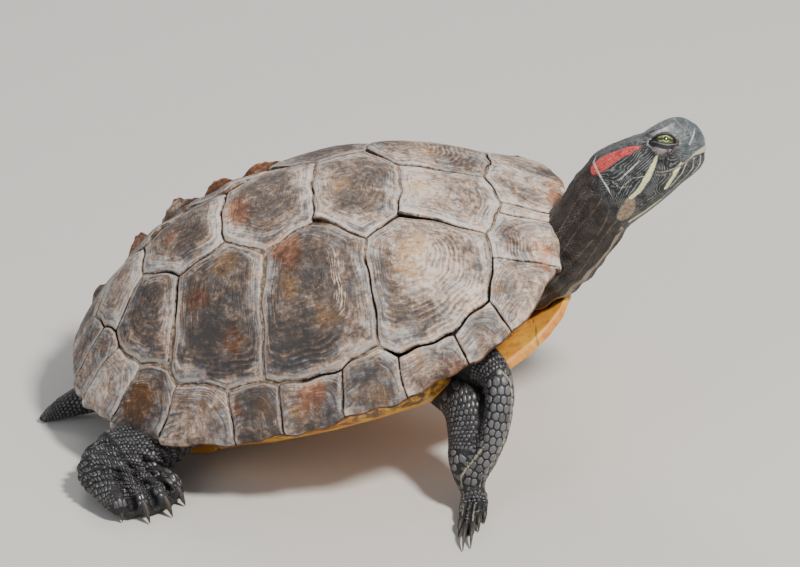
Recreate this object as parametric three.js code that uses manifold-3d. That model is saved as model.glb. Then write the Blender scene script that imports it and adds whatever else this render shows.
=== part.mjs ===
// A life-size red-eared slider turtle, basking with its head raised, as a still model in millimetres.
// +X is towards the head, +Y is the animal's left, +Z is up. Everything is modelled round the middle of
// the shell, and at the end the whole animal is moved so that its feet stand on z = 0.
import * as THREE from "three";
import Module from "manifold-3d";
import { mergeVertices } from "three/addons/utils/BufferGeometryUtils.js";

const wasm = await Module();
wasm.setup();

// ---- driving dimensions ----
const SHELL = {
  halfLength: 110, // half of the straight carapace length
  halfWidth: 85.5,
  widestX: -6.5, // where the plan outline is widest
  frontBlunt: 2.6, // superellipse exponents of the plan outline
  rearBlunt: 2.04,
  rise: 57.8, // height of the dome over the middle of the rim
  frontLift: 8, // how far the rim rises at the nose and tail ends
  rearLift: 6.4,
  plate: 3, // thickness of a scute with its bone
  seam: 0.5, // gap between two scutes
};
const DOME = { side: 2.63, rearSide: 1.35, front: 2.0, rear: 2.36 }; // how boxy the dome is, by direction
const POSE = { pitch: 18.4, roll: 9, floorBelow: 57 }; // degrees nose up, degrees right side down, mm
const PLASTRON = { bottom: -31, thick: 4.5, frontX: 105, rearX: -97 };
const CUT = 0.35; // clearance between pieces of flesh that meet
const FAR = 600; // larger than the animal, for cutting blocks

const rad = THREE.MathUtils.degToRad;
const lerp = THREE.MathUtils.lerp;
const smooth = (x, low, high) => THREE.MathUtils.smoothstep(x, low, high);

// ---- shell surface, in the shell's own frame ----
function gauge(x, y) {
  const along = x - SHELL.widestX;
  const reach = along > 0 ? SHELL.halfLength - SHELL.widestX : SHELL.halfLength + SHELL.widestX;
  const n = along > 0 ? SHELL.frontBlunt : SHELL.rearBlunt;
  return ((Math.abs(along) / reach) ** n + (Math.abs(y) / SHELL.halfWidth) ** n) ** (1 / n);
}

function dome(x, y) {
  const along = x - SHELL.widestX;
  const reach = along > 0 ? SHELL.halfLength - SHELL.widestX : SHELL.halfLength + SHELL.widestX;
  const length2 = (along / reach) ** 2;
  const width2 = (y / SHELL.halfWidth) ** 2;
  const lengthwise = length2 / (length2 + width2 + 1e-9);
  const rearward = 1 - smooth(along, -60, 60);
  const side = lerp(DOME.side, DOME.rearSide, rearward);
  const end = lerp(DOME.front, DOME.rear, rearward);
  const power = lerp(side, end, lengthwise);
  const r = Math.min(gauge(x, y), 1.05);
  const share = x / SHELL.halfLength;
  const lift = x > 0 ? SHELL.frontLift : SHELL.rearLift;
  return SHELL.rise * (1 - r ** power) + lift * share * share * r * r;
}

function domeNormal(x, y) {
  const step = 1;
  const slopeX = (dome(x + step, y) - dome(x - step, y)) / (2 * step);
  const slopeY = (dome(x, y + step) - dome(x, y - step)) / (2 * step);
  return new THREE.Vector3(-slopeX, -slopeY, 1).normalize();
}

// The point of the plan outline that lies outwards from (x, y).
function toRim([x, y]) {
  const r = gauge(x, y);
  return [SHELL.widestX + (x - SHELL.widestX) / r, y / r];
}

// ---- scute network of the left half: x forwards, y to the left ----
const SEAM = {
  nuchalRear: [89.5, 4], firstCorner: [83.5, 20.5],
  v12: [52, 18.5], v2side: [38, 31.5], v23: [17.6, 21.5], v3side: [-5, 29.5],
  v34: [-22.7, 17.7], v4side: [-44.4, 22.5], v45: [-63.3, 9],
  c12: [35.5, 71], c23: [-16.1, 70.4], c34: [-56.7, 51.5], c4v5: [-80.5, 23.8],
  m: [null, [86, 35], [80.8, 54.2], [65, 67.6], [41.2, 72.7], [17, 74.4], [-10, 73.6], [-32.9, 67.7],
    [-55.1, 57.3], [-69.6, 44.4], [-80, 30.1], [-87, 15], [-92, 0]], // inner end of the seam after marginal i
  rim: [[107, 3.2], [107.4, 30.4], [88.9, 63.3], [68.1, 75.9], [40.4, 82.3], [12.7, 84.9], [-13.6, 86],
    [-35.5, 82.4], [-68.3, 69.3], [-89.1, 50.1], [-102.7, 31.5], [-108, 17.5], [-110, 0]], // outer end
};
const mirror = (p) => [p[0], -p[1]];
const bothSides = (half) => [...half, ...half.filter((p) => p[1] !== 0).map(mirror).reverse()];

const VERTEBRALS = [
  bothSides([SEAM.nuchalRear, SEAM.firstCorner, SEAM.v12]),
  bothSides([SEAM.v12, SEAM.v2side, SEAM.v23]),
  bothSides([SEAM.v23, SEAM.v3side, SEAM.v34]),
  bothSides([SEAM.v34, SEAM.v4side, SEAM.v45]),
  bothSides([SEAM.v45, SEAM.c4v5, SEAM.m[11], SEAM.m[12]]),
];
const COSTALS = [
  [SEAM.firstCorner, SEAM.m[1], SEAM.m[2], SEAM.m[3], SEAM.m[4], SEAM.c12, SEAM.v2side, SEAM.v12],
  [SEAM.v2side, SEAM.c12, SEAM.m[5], SEAM.m[6], SEAM.c23, SEAM.v3side, SEAM.v23],
  [SEAM.v3side, SEAM.c23, SEAM.m[7], SEAM.m[8], SEAM.c34, SEAM.v4side, SEAM.v34],
  [SEAM.v4side, SEAM.c34, SEAM.m[9], SEAM.m[10], SEAM.c4v5, SEAM.v45],
];
// Inner edge of each marginal, front to rear.
const MARGINAL_INNER = [
  [SEAM.nuchalRear, SEAM.firstCorner, SEAM.m[1]], [SEAM.m[1], SEAM.m[2]], [SEAM.m[2], SEAM.m[3]],
  [SEAM.m[3], SEAM.m[4]], [SEAM.m[4], SEAM.c12, SEAM.m[5]], [SEAM.m[5], SEAM.m[6]],
  [SEAM.m[6], SEAM.c23, SEAM.m[7]], [SEAM.m[7], SEAM.m[8]], [SEAM.m[8], SEAM.c34, SEAM.m[9]],
  [SEAM.m[9], SEAM.m[10]], [SEAM.m[10], SEAM.c4v5, SEAM.m[11]], [SEAM.m[11], SEAM.m[12]],
];

// ---- mesh helpers ----
function geometryOf(points, triangles) {
  const g = new THREE.BufferGeometry();
  g.setAttribute("position", new THREE.Float32BufferAttribute(points.flat(), 3));
  g.setIndex(triangles.flat());
  return g;
}

// Closed skin over rings of equal length, each a list of [x, y, z]; the ends are fans round their middles.
function loft(rings) {
  const n = rings[0].length;
  const points = rings.flat();
  const triangles = [];
  for (let k = 0; k + 1 < rings.length; k++) {
    for (let i = 0; i < n; i++) {
      const a = k * n + i;
      const b = k * n + ((i + 1) % n);
      triangles.push([a, b, b + n], [a, b + n, a + n]);
    }
  }
  for (const k of [0, rings.length - 1]) {
    const middle = [0, 1, 2].map((axis) => rings[k].reduce((sum, p) => sum + p[axis], 0) / n);
    points.push(middle);
    for (let i = 0; i < n; i++) {
      const a = k * n + i;
      const b = k * n + ((i + 1) % n);
      triangles.push(k === 0 ? [points.length - 1, b, a] : [points.length - 1, a, b]);
    }
  }
  return geometryOf(points, triangles);
}

// three.js geometry to a manifold solid, turned right side out.
function solid(geometry, matrix = new THREE.Matrix4()) {
  const g = geometry.clone().applyMatrix4(matrix);
  g.deleteAttribute("normal");
  g.deleteAttribute("uv");
  const merged = mergeVertices(g, 1e-4);
  const triVerts = new Uint32Array(merged.index.array);
  const build = () => new wasm.Manifold(
    new wasm.Mesh({ numProp: 3, vertProperties: merged.attributes.position.array, triVerts }));
  const made = build();
  if (made.volume() > 0) return made;
  for (let i = 0; i < triVerts.length; i += 3) {
    [triVerts[i + 1], triVerts[i + 2]] = [triVerts[i + 2], triVerts[i + 1]];
  }
  return build();
}

function geometryFrom(manifold) {
  const mesh = manifold.getMesh();
  const g = new THREE.BufferGeometry();
  g.setAttribute("position", new THREE.BufferAttribute(new Float32Array(mesh.vertProperties), 3));
  g.setIndex(new THREE.BufferAttribute(new Uint32Array(mesh.triVerts), 1));
  return g;
}

// The largest body of a solid, so that a cut leaves no crumbs, without the cut's slivers.
function largest(manifold) {
  return manifold.decompose().sort((a, b) => b.volume() - a.volume())[0].simplify(CUT / 3);
}

function block(size, centre, matrix = new THREE.Matrix4()) {
  const g = new THREE.BoxGeometry(...size).translate(...centre);
  return solid(g, matrix);
}

// ---- materials ----
const paint = (color, roughness, metalness = 0) =>
  new THREE.MeshStandardMaterial({ color, roughness, metalness });
const MATERIALS = {
  scute: paint(0x8d7868, 0.6),
  plastron: paint(0xd9a04a, 0.5),
  skin: paint(0x2b2a26, 0.55),
  eye: paint(0x8fa04a, 0.15),
};

const turtle = new THREE.Group();
function place(parent, name, geometry, material) {
  const mesh = new THREE.Mesh(geometry, material);
  mesh.name = name;
  parent.add(mesh);
  return mesh;
}

// The shell leans with the animal: nose up, right side down.
const shell = new THREE.Group();
shell.rotation.set(rad(POSE.roll), -rad(POSE.pitch), 0, "ZYX");
shell.updateMatrix();
turtle.add(shell);
const floor = block([FAR, FAR, FAR], [0, 0, -FAR / 2 - POSE.floorBelow]);

// ---- vertebral and costal scutes ----
// Moves each edge of a polygon inwards by gap.
function insetOutline(points, gap) {
  const area = points.reduce((sum, p, i) => {
    const q = points[(i + 1) % points.length];
    return sum + p[0] * q[1] - q[0] * p[1];
  }, 0);
  const turn = Math.sign(area);
  const lines = points.map((p, i) => {
    const q = points[(i + 1) % points.length];
    const d = new THREE.Vector2(q[0] - p[0], q[1] - p[1]).normalize();
    const inward = new THREE.Vector2(-d.y, d.x).multiplyScalar(turn * gap);
    return { p: new THREE.Vector2(...p).add(inward), d };
  });
  return points.map((_, i) => {
    const a = lines[(i + points.length - 1) % points.length];
    const b = lines[i];
    const cross = a.d.x * b.d.y - a.d.y * b.d.x;
    if (Math.abs(cross) < 1e-6) return [b.p.x, b.p.y];
    const t = ((b.p.x - a.p.x) * b.d.y - (b.p.y - a.p.y) * b.d.x) / cross;
    return [a.p.x + a.d.x * t, a.p.y + a.d.y * t];
  });
}

function subdivide(points, longest) {
  return points.flatMap((p, i) => {
    const q = points[(i + 1) % points.length];
    const count = Math.max(1, Math.ceil(Math.hypot(q[0] - p[0], q[1] - p[1]) / longest));
    return Array.from({ length: count }, (_, k) => [0, 1].map((axis) => lerp(p[axis], q[axis], k / count)));
  });
}

// Each step is [share of the way out from the middle, height over the dome]: a scute swells inside its seam.
const SCUTE_STEPS = [[1, 0], [0.93, 0.9], [0.5, 1.1]];
function scuteGeometry(corners) {
  const outline = subdivide(insetOutline(corners, SHELL.seam / 2), 20);
  const n = outline.length;
  const middle = [0, 1].map((axis) => outline.reduce((sum, p) => sum + p[axis], 0) / n);
  const points = [];
  const triangles = [];
  const under = outline.map(([x, y]) => {
    const normal = domeNormal(x, y).multiplyScalar(-SHELL.plate);
    return [x + normal.x, y + normal.y, dome(x, y) + normal.z];
  });
  points.push(...under);
  for (const [share, height] of SCUTE_STEPS) {
    for (const p of outline) {
      const x = lerp(middle[0], p[0], share);
      const y = lerp(middle[1], p[1], share);
      points.push([x, y, dome(x, y) + height]);
    }
  }
  for (let k = 0; k < SCUTE_STEPS.length; k++) {
    for (let i = 0; i < n; i++) {
      const a = k * n + i;
      const b = k * n + ((i + 1) % n);
      triangles.push([a, b, b + n], [a, b + n, a + n]);
    }
  }
  const top = dome(...middle);
  points.push([...middle, top + 1.2], [...middle, top - SHELL.plate]);
  for (let i = 0; i < n; i++) {
    const j = (i + 1) % n;
    const ring = SCUTE_STEPS.length * n;
    triangles.push([ring + i, ring + j, points.length - 2], [j, i, points.length - 1]);
  }
  return geometryOf(points, triangles);
}

function placeScute(name, corners) {
  place(shell, name, geometryFrom(solid(scuteGeometry(corners))), MATERIALS.scute);
}
VERTEBRALS.forEach((corners, i) => placeScute(`vertebral_${i + 1}`, corners));
COSTALS.forEach((corners, i) => {
  placeScute(`costal_left_${i + 1}`, corners);
  placeScute(`costal_right_${i + 1}`, corners.map(mirror));
});

// ---- marginal scutes: wedges that turn over the rim, deep beside the bridge ----
const BRIDGE = { front: 50, rear: -48, fade: 14, depth: 8.5 };
function bridging(x) {
  const fromRear = smooth(x, BRIDGE.rear - BRIDGE.fade, BRIDGE.rear);
  return fromRear * (1 - smooth(x, BRIDGE.front, BRIDGE.front + BRIDGE.fade));
}

// grow makes the section larger all round, for the room that the flesh leaves it.
function marginalSection(inner, outer, grow) {
  const at = (share) => [lerp(inner[0], outer[0], share), lerp(inner[1], outer[1], share)];
  const over = (share, height) => {
    const [x, y] = at(share);
    return new THREE.Vector3(x, y, dome(x, y) + height + Math.sign(height) * grow);
  };
  const edge = dome(...outer) - grow;
  const freeUnder = over(0.5, -4.6);
  const freeInner = over(0, -6);
  const deepUnder = new THREE.Vector3(...at(0.5), edge - BRIDGE.depth * 0.7);
  const deepInner = new THREE.Vector3(...at(-0.05), edge - BRIDGE.depth);
  const k = bridging(outer[0]);
  return [
    over(0, 0.01), over(0.1, 0.9), over(0.55, 1), over(0.94, 0.7), over(1 + grow / 30, -1.2),
    over(0.97 + grow / 30, -3.4), freeUnder.lerp(deepUnder, k), freeInner.lerp(deepInner, k),
  ].map((v) => v.toArray());
}

// A point at share t of a polyline, by the number of its stretches.
function along(points, t) {
  const stretch = t * (points.length - 1);
  const i = Math.min(Math.floor(stretch), points.length - 2);
  const share = stretch - i;
  return [lerp(points[i][0], points[i + 1][0], share), lerp(points[i][1], points[i + 1][1], share)];
}

// juts: how far the two ends of the scute's edge stand out of the plan outline, along their seams.
function marginalGeometry(inner, rimStart, rimEnd, juts, grow = 0) {
  const spans = inner.length === 3 ? 4 : 3;
  const rings = [];
  for (let k = 0; k <= spans; k++) {
    const t = k / spans;
    const within = along(inner, t);
    const rim = toRim(along([rimStart, rimEnd], t));
    const out = new THREE.Vector2(rim[0] - within[0], rim[1] - within[1]).normalize();
    out.multiplyScalar(lerp(juts[0], juts[1], t));
    rings.push([within, [rim[0] + out.x, rim[1] + out.y]]);
  }
  // Both ends draw back by half a seam, along the way to the other end.
  const pull = (from, to, gap) => {
    const d = new THREE.Vector2(to[0] - from[0], to[1] - from[1]).setLength(Math.abs(gap));
    return [from[0] + d.x * Math.sign(gap), from[1] + d.y * Math.sign(gap)];
  };
  const gap = SHELL.seam / 2 - grow;
  rings[0] = rings[0].map((p, i) => pull(p, rings[1][i], gap));
  rings[spans] = rings[spans].map((p, i) => pull(p, rings[spans - 1][i], gap));
  return loft(rings.map(([a, b]) => marginalSection(pull(a, b, gap), b, grow)));
}

// The rim is notched at the nape, and serrated behind, where each scute's rear corner stands out.
const REAR_JUTS = [[0, 1], [0, 2], [0, 2], [0, 2], [0, 1]]; // marginals 8 to 12
const JUTS = {
  left: [[0, 6], [6, 8], [8, 4], [4, 0], [0, 0], [0, 0], [0, 0], ...REAR_JUTS],
  right: [[0, 2], [0, 0], [0, 0], [0, 0], [0, 0], [0, 0], [0, 0], ...REAR_JUTS],
};
const nuchalInner = [SEAM.nuchalRear, mirror(SEAM.nuchalRear)];
const marginalPieces = [["nuchal", nuchalInner, SEAM.rim[0], mirror(SEAM.rim[0]), [0, 0]]];
for (const [side, turn] of [["left", (p) => p], ["right", mirror]]) {
  JUTS[side].forEach((juts, i) => {
    const inner = MARGINAL_INNER[i].map(turn);
    marginalPieces.push([`marginal_${side}_${i + 1}`, inner, turn(SEAM.rim[i]), turn(SEAM.rim[i + 1]), juts]);
  });
}
for (const [name, ...shape] of marginalPieces) {
  place(shell, name, geometryFrom(solid(marginalGeometry(...shape))), MATERIALS.scute);
}
const rimRoom = wasm.Manifold.union(
  marginalPieces.map(([, ...shape]) => solid(marginalGeometry(...shape, CUT), shell.matrix)));

// ---- plastron with its bridges ----
// Stations: x, half-width of the flat, half-width of the edge, rise of the edge, rise of the middle.
const PLASTRON_STATIONS = [
  [PLASTRON.frontX, 6, 10, 2.4, 3], [101, 15, 20, 1.5, 2.4], [94, 23, 28, 1, 1.2], [86, 30, 35, 1, 0],
  [75, 38, 43.5, 1, 0], [63, 43, 49, 1.5, 0], [50, 46, 62, 17, 0], [40, 47, 69, 18.5, 0],
  [20, 48, 71, 18.5, 0], [0, 48, 71, 18.5, 0], [-28, 46, 67, 18.5, 0], [-44, 43, 58, 17, 0],
  [-57, 40.5, 46, 2, 0], [-70, 37, 42, 1.5, 1], [-88, 26, 30, 1.5, 3], [PLASTRON.rearX, 12, 15, 2, 5],
];
function plastronSection([x, flat, edge, rise, lift], grow) {
  const low = PLASTRON.bottom + lift - grow;
  const high = low + PLASTRON.thick + 2 * grow;
  const half = [
    [flat, low], [lerp(flat, edge, 0.7) + grow, low + rise * 0.55], [edge + grow, low + rise],
    [edge - 1.5, high + rise - 1.5 + grow], [lerp(flat, edge, 0.4) - 1 - grow, high + rise * 0.35],
    [flat * 0.6, high],
  ];
  const left = half.map(([y, z]) => [x, y, z]);
  const right = half.map(([y, z]) => [x, -y, z]).reverse();
  return [...left, ...right];
}
function plastronSolid(grow) {
  const stations = PLASTRON_STATIONS.map(([x, ...rest], i) => {
    const end = i === 0 ? 1 : i === PLASTRON_STATIONS.length - 1 ? -1 : 0;
    return [x + end * grow, ...rest];
  });
  return solid(loft(stations.map((station) => plastronSection(station, grow))), shell.matrix);
}
const plastronWhole = plastronSolid(0).subtract(floor);
const plastronRoom = plastronSolid(2 * CUT);

// ---- trunk: what shows of the body inside the two openings of the shell ----
function trunkSolid(grow) {
  const stations = [-88, -80, -66, -42, -10, 20, 46, 64, 78, 87];
  const shrink = [0.5, 0.8, 0.98, 0.92, 0.9, 0.9, 0.92, 0.98, 0.84, 0.5];
  const rings = stations.map((station, k) => {
    const x = station + grow * Math.sign(station) * (k === 0 || k === stations.length - 1 ? 1 : 0);
    const reach = SHELL.halfLength - Math.sign(x) * SHELL.widestX;
    const ratio = Math.abs((x - SHELL.widestX) / reach);
    const width = SHELL.halfWidth * (1 - ratio ** 2.3) ** (1 / 2.3) * 0.86 * shrink[k] + grow;
    const base = PLASTRON.bottom + PLASTRON.thick + 1.5 + 6 * (station / 100) ** 4;
    return Array.from({ length: 14 }, (_, i) => {
      const angle = (i / 14) * Math.PI * 2;
      const y = width * Math.sign(Math.cos(angle)) * Math.abs(Math.cos(angle)) ** 0.75;
      const roof = dome(x, y) - 8.5 - 10 * (1 - shrink[k]) + grow;
      const height = Math.sin(angle) * 0.5 + 0.5;
      return [x, y, lerp(base - grow, roof, height ** 0.8)];
    });
  });
  return solid(loft(rings), shell.matrix);
}
const trunk = trunkSolid(0).subtract(rimRoom).subtract(plastronRoom);
const shellRoom = trunkSolid(CUT).add(rimRoom).add(plastronRoom);

// ---- soft limbs: tubes through stations of [x, y, z, half-width, half-thickness] ----
function tube(stations, sides = 10, steps = 2, up = new THREE.Vector3(0, 0, 1)) {
  const through = (points, kind) => new THREE.CatmullRomCurve3(points, false, kind);
  const centre = through(stations.map((s) => new THREE.Vector3(s[0], s[1], s[2])), "centripetal");
  const sizes = through(stations.map((s) => new THREE.Vector3(s[3], s[4], 0)), "catmullrom");
  const count = (stations.length - 1) * steps;
  const rings = [];
  for (let k = 0; k <= count; k++) {
    const t = k / count;
    const p = centre.getPoint(t);
    const size = sizes.getPoint(t);
    const forward = centre.getTangent(t);
    const sideways = new THREE.Vector3().crossVectors(up, forward).normalize();
    const over = new THREE.Vector3().crossVectors(forward, sideways);
    rings.push(Array.from({ length: sides }, (_, i) => {
      const angle = (i / sides) * Math.PI * 2;
      return p.clone()
        .addScaledVector(sideways, Math.cos(angle) * size.x)
        .addScaledVector(over, Math.sin(angle) * size.y)
        .toArray();
    }));
  }
  return loft(rings);
}

// ---- neck and head ----
const NECK = [
  [60, 0, 4, 19, 15], [78, -1, 11, 18.5, 16], [93, -1, 18.5, 18, 16.5], [104, -1.5, 27, 16.5, 16],
  [111.5, -1.5, 36.5, 15.6, 15.2], [117.5, -1, 46, 15.2, 15.2], [122, -0.5, 54, 15, 15.6],
  [125, 0, 60, 14, 14],
];
const HEAD = {
  base: [122.9, 0, 57.3], // middle of the back of the head
  pitch: 28, roll: -14,
  eye: { x: 31.6, y: 7.2, z: 9.2, r: 4.8 },
  mouthCorner: [24, -1.8],
};
// Head sections, in the head's own frame: x, half-width, top, bottom, how boxy.
const HEAD_STATIONS = [
  [-8, 11, 10, -16, 2], [0, 14, 15.4, -18, 2.1], [8, 15, 16.4, -16.8, 2.2], [16, 14.6, 16, -15, 2.3],
  [24, 13, 15.6, -12.8, 2.4], [30, 11.6, 15.9, -10.8, 2.4], [35.5, 9.8, 16.4, -9.6, 2.4],
  [40.5, 8, 15.4, -7.8, 2.3], [44, 6.2, 12.2, -4.4, 2.2], [46.2, 3.4, 8.2, 0.4, 2],
];
const headFrame = new THREE.Matrix4()
  .makeRotationFromEuler(new THREE.Euler(rad(HEAD.roll), -rad(HEAD.pitch), 0, "ZYX"))
  .setPosition(...HEAD.base);

function headSection([x, halfWidth, top, bottom, boxy]) {
  const middle = (top + bottom) / 2;
  const half = (top - bottom) / 2;
  return Array.from({ length: 16 }, (_, i) => {
    const angle = (i / 16) * Math.PI * 2;
    const c = Math.cos(angle);
    const s = Math.sin(angle);
    const r = (Math.abs(c) ** boxy + Math.abs(s) ** boxy) ** (-1 / boxy);
    return [x, halfWidth * c * r, middle + half * s * r];
  });
}
const ball = (r) => new THREE.SphereGeometry(r, 10, 8);
const eyeAt = (side) => new THREE.Matrix4().makeTranslation(HEAD.eye.x, side * HEAD.eye.y, HEAD.eye.z);

let headWhole = solid(loft(HEAD_STATIONS.map(headSection)), headFrame);
const neckTube = solid(tube(NECK, 12, 1, new THREE.Vector3(-1, 0, 1)));
// The lower jaw lies in front of and below this outline, x and z in the head's frame.
const JAW_OUTLINE = [HEAD.mouthCorner, [33, -2.6], [42, -1.9], [60, -4.4], [60, -40], [8, -40], [15, -11]];
function jawRegion(grow) {
  const outline = new THREE.Shape(insetOutline(JAW_OUTLINE, -grow).map((p) => new THREE.Vector2(...p)));
  const g = new THREE.ExtrudeGeometry(outline, { depth: 80, bevelEnabled: false });
  // The shape's y is the head's z, and its depth runs across the head.
  const [across, up, left] = [[1, 0, 0], [0, 0, 1], [0, -1, 0]].map((axis) => new THREE.Vector3(...axis));
  g.applyMatrix4(new THREE.Matrix4().makeBasis(across, up, left).setPosition(0, 40, 0));
  return solid(g, headFrame);
}
const headBack = block([FAR, FAR, FAR], [-FAR / 2 + 2, 0, 0], headFrame);
const headBackRoom = block([FAR, FAR, FAR], [-FAR / 2 + 2 + CUT, 0, 0], headFrame);
const headAndNeck = headWhole.add(neckTube);
const neck = largest(headAndNeck.intersect(headBack).subtract(shellRoom));
headWhole = headAndNeck.subtract(headBackRoom);
for (const side of [1, -1]) {
  headWhole = headWhole.subtract(solid(ball(HEAD.eye.r + CUT), headFrame.clone().multiply(eyeAt(side))));
}
place(turtle, "head", geometryFrom(largest(headWhole.subtract(jawRegion(CUT / 2)))), MATERIALS.skin);
place(turtle, "lower_jaw", geometryFrom(largest(headWhole.intersect(jawRegion(-CUT / 2)))), MATERIALS.skin);
for (const [name, side] of [["eye_left", 1], ["eye_right", -1]]) {
  const geometry = geometryFrom(solid(ball(HEAD.eye.r), headFrame.clone().multiply(eyeAt(side))));
  place(turtle, name, geometry, MATERIALS.eye);
}

// ---- limbs: a leg, and a foot with toes and claws, parted by a thin cut at the wrist or ankle ----
// A toe runs from its root over a knuckle to its tip, and its claw goes on from there to a point.
function toe({ root, knuckle, tip, claw, r }) {
  const flesh = tube([[...root, r * 1.15, r], [...knuckle, r * 1.1, r], [...tip, r * 0.7, r * 0.66]], 5, 1);
  const part = (share) => tip.map((v, i) => lerp(v, claw[i], share));
  const horn = tube([
    [...part(-0.25), r * 0.5, r * 0.5], [...part(0.45), r * 0.42, r * 0.42], [...claw, 0.3, 0.3],
  ], 5, 1);
  return solid(flesh).add(solid(horn));
}

// Toes fan out round the end of the palm: heading in degrees from +X, and spread to each side of it.
// lengths: the toes' shares of reach, from the one most to the right of the heading to the left.
function footSolid({ palm, heading, spread, reach, lengths, r, clawLength, knuckleHeight }) {
  const [endX, endY, , width] = palm.at(-1);
  const ahead = rad(heading);
  let foot = solid(tube(palm, 10, 1));
  lengths.forEach((length, i) => {
    const share = (i / (lengths.length - 1)) * 2 - 1;
    const angle = ahead + share * rad(spread);
    const out = (distance, height) => [
      endX + Math.cos(angle) * distance - Math.sin(ahead) * share * width * 0.76,
      endY + Math.sin(angle) * distance + Math.cos(ahead) * share * width * 0.76,
      height - POSE.floorBelow,
    ];
    foot = foot.add(toe({
      root: out(-10, knuckleHeight * 0.95),
      knuckle: out(reach * length * 0.45 - 3, knuckleHeight),
      tip: out(reach * length - 3, r * 0.55),
      claw: out((reach + clawLength) * length - 3, 0.9),
      r,
    }));
  });
  return foot;
}

// legs: one or more tubes that run together to the wrist or ankle.
// parting: a point of the cut between leg and foot, and its way out.
function limb(name, { legs, up, foot, parting }) {
  const legSolids = legs.map((stations) => solid(tube(stations, 8, Math.round(8 / stations.length), up)));
  const whole = wasm.Manifold.union([...legSolids, footSolid(foot)]).subtract(floor).subtract(shellRoom);
  const turn = new THREE.Quaternion().setFromUnitVectors(
    new THREE.Vector3(1, 0, 0), new THREE.Vector3(...parting.out).normalize());
  const cut = new THREE.Matrix4().makeRotationFromQuaternion(turn).setPosition(...parting.at);
  const beyond = (shift) => block([FAR, FAR, FAR], [FAR / 2 + shift, 0, 0], cut);
  place(turtle, `${name}_leg`, geometryFrom(largest(whole.subtract(beyond(-CUT / 2)))), MATERIALS.skin);
  place(turtle, `${name}_foot`, geometryFrom(largest(whole.intersect(beyond(CUT / 2)))), MATERIALS.skin);
}

const DOWNWARDS = new THREE.Vector3(1, 0, 0); // the up of a tube that runs down
const OUTWARDS = new THREE.Vector3(0, 0, 1); // the up of a tube that runs out
limb("front_right", {
  legs: [
    [[50, -34, -2, 11, 10], [68, -48, 1, 10, 9], [78.5, -58, -3, 8.5, 6.4], [80, -65, -12, 7.6, 5.8],
      [78, -69, -23, 7.4, 6], [73.5, -71.5, -34, 7, 6.4], [68, -73, -45, 6.4, 6.4]],
    [[56, -42, -12, 11, 11], [66, -55, -17, 10, 10], [68, -64, -28, 9.5, 8.8], [67.5, -69, -37, 8.6, 8.2],
      [67.5, -73, -46, 6.4, 6.6]],
  ],
  up: DOWNWARDS,
  foot: {
    palm: [
      [68, -71, -43, 6.6, 6.4], [69.5, -76.5, -47.5, 6.2, 5.6], [70.8, -82, -51.6, 6.2, 4.6],
      [71, -86, -54, 7, 3],
    ],
    heading: -91, spread: 4, reach: 14.5, lengths: [0.62, 1, 0.9, 0.52, 0.34], r: 1.9, clawLength: 12.5,
    knuckleHeight: 4.8,
  },
  parting: { at: [68, -74, -44.5], out: [0, -0.6, -0.8] },
});
limb("front_left", {
  legs: [
    [[50, 36, 4, 12, 11], [66, 50, 4, 12, 11], [76, 62, -4, 11, 9.5], [78, 68, -18, 10.5, 9],
      [75, 71, -32, 9.5, 8.4], [73, 73, -45, 7.6, 7]],
  ],
  up: DOWNWARDS,
  foot: {
    palm: [
      [73, 71, -43, 8, 6.8], [73.5, 77, -47.5, 8.6, 5.8], [75, 85, -52.8, 8.6, 4.6], [76, 91, -54.8, 9, 3],
    ],
    heading: 78, spread: 20, reach: 15, lengths: [0.6, 0.9, 1, 0.9, 0.6], r: 2.7, clawLength: 12,
    knuckleHeight: 4.6,
  },
  parting: { at: [73, 74, -44.5], out: [0, 0.6, -0.8] },
});
limb("hind_right", {
  legs: [
    [[-46, -34, -27, 15, 12], [-58, -46, -35, 15, 12], [-70, -56, -41, 15, 12.5],
      [-80, -62, -45, 14.5, 12.5]],
  ],
  up: OUTWARDS,
  foot: {
    palm: [
      [-85, -60, -47, 12, 10], [-82, -66, -46.5, 16, 11], [-76, -73, -48, 17.5, 9.4],
      [-70.5, -78.5, -50.4, 18, 7.4], [-67, -82.5, -53.2, 17, 4.6],
    ],
    heading: -50, spread: 14, reach: 9, lengths: [0.42, 0.92, 1, 0.72], r: 3.7, clawLength: 6.5,
    knuckleHeight: 9,
  },
  parting: { at: [-79, -63, -42], out: [-0.3, -0.95, 0] },
});
limb("hind_left", {
  legs: [
    [[-46, 36, -14, 15, 12], [-58, 48, -20, 15, 12], [-70, 57, -29, 15, 13],
      [-79, 63, -38, 14.5, 13]],
  ],
  up: OUTWARDS,
  foot: {
    palm: [
      [-83, 61, -43, 12, 12], [-80, 68, -44.5, 16, 12], [-76, 75, -47, 17, 10], [-72, 81.5, -50.4, 17.5, 7.4],
      [-69, 86.5, -53.2, 17, 4.6],
    ],
    heading: 58, spread: 16, reach: 10, lengths: [0.8, 1, 0.95, 0.6], r: 3.6, clawLength: 7,
    knuckleHeight: 8.6,
  },
  parting: { at: [-78, 64, -40], out: [-0.3, 0.95, 0] },
});

// ---- tail ----
const TAIL = [
  [-70, 0, -35, 11, 9], [-86, -1, -42.5, 9.5, 8], [-100, -3, -48, 7.5, 6.5], [-112, -7, -52, 4.6, 4.2],
  [-120, -11, -55, 1.6, 1.6],
];
const tailTube = solid(tube(TAIL, 10, 2)).subtract(floor).subtract(shellRoom);

place(turtle, "neck", geometryFrom(neck), MATERIALS.skin);
place(turtle, "trunk", geometryFrom(largest(trunk)), MATERIALS.skin);
place(turtle, "plastron", geometryFrom(largest(plastronWhole)), MATERIALS.plastron);
place(turtle, "tail", geometryFrom(largest(tailTube)), MATERIALS.skin);

// The animal stands on the middle of its bounding box's floor.
const bounds = new THREE.Box3().setFromObject(turtle);
const middle = bounds.getCenter(new THREE.Vector3());
turtle.position.set(-middle.x, -middle.y, -bounds.min.z);

export default turtle;
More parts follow.
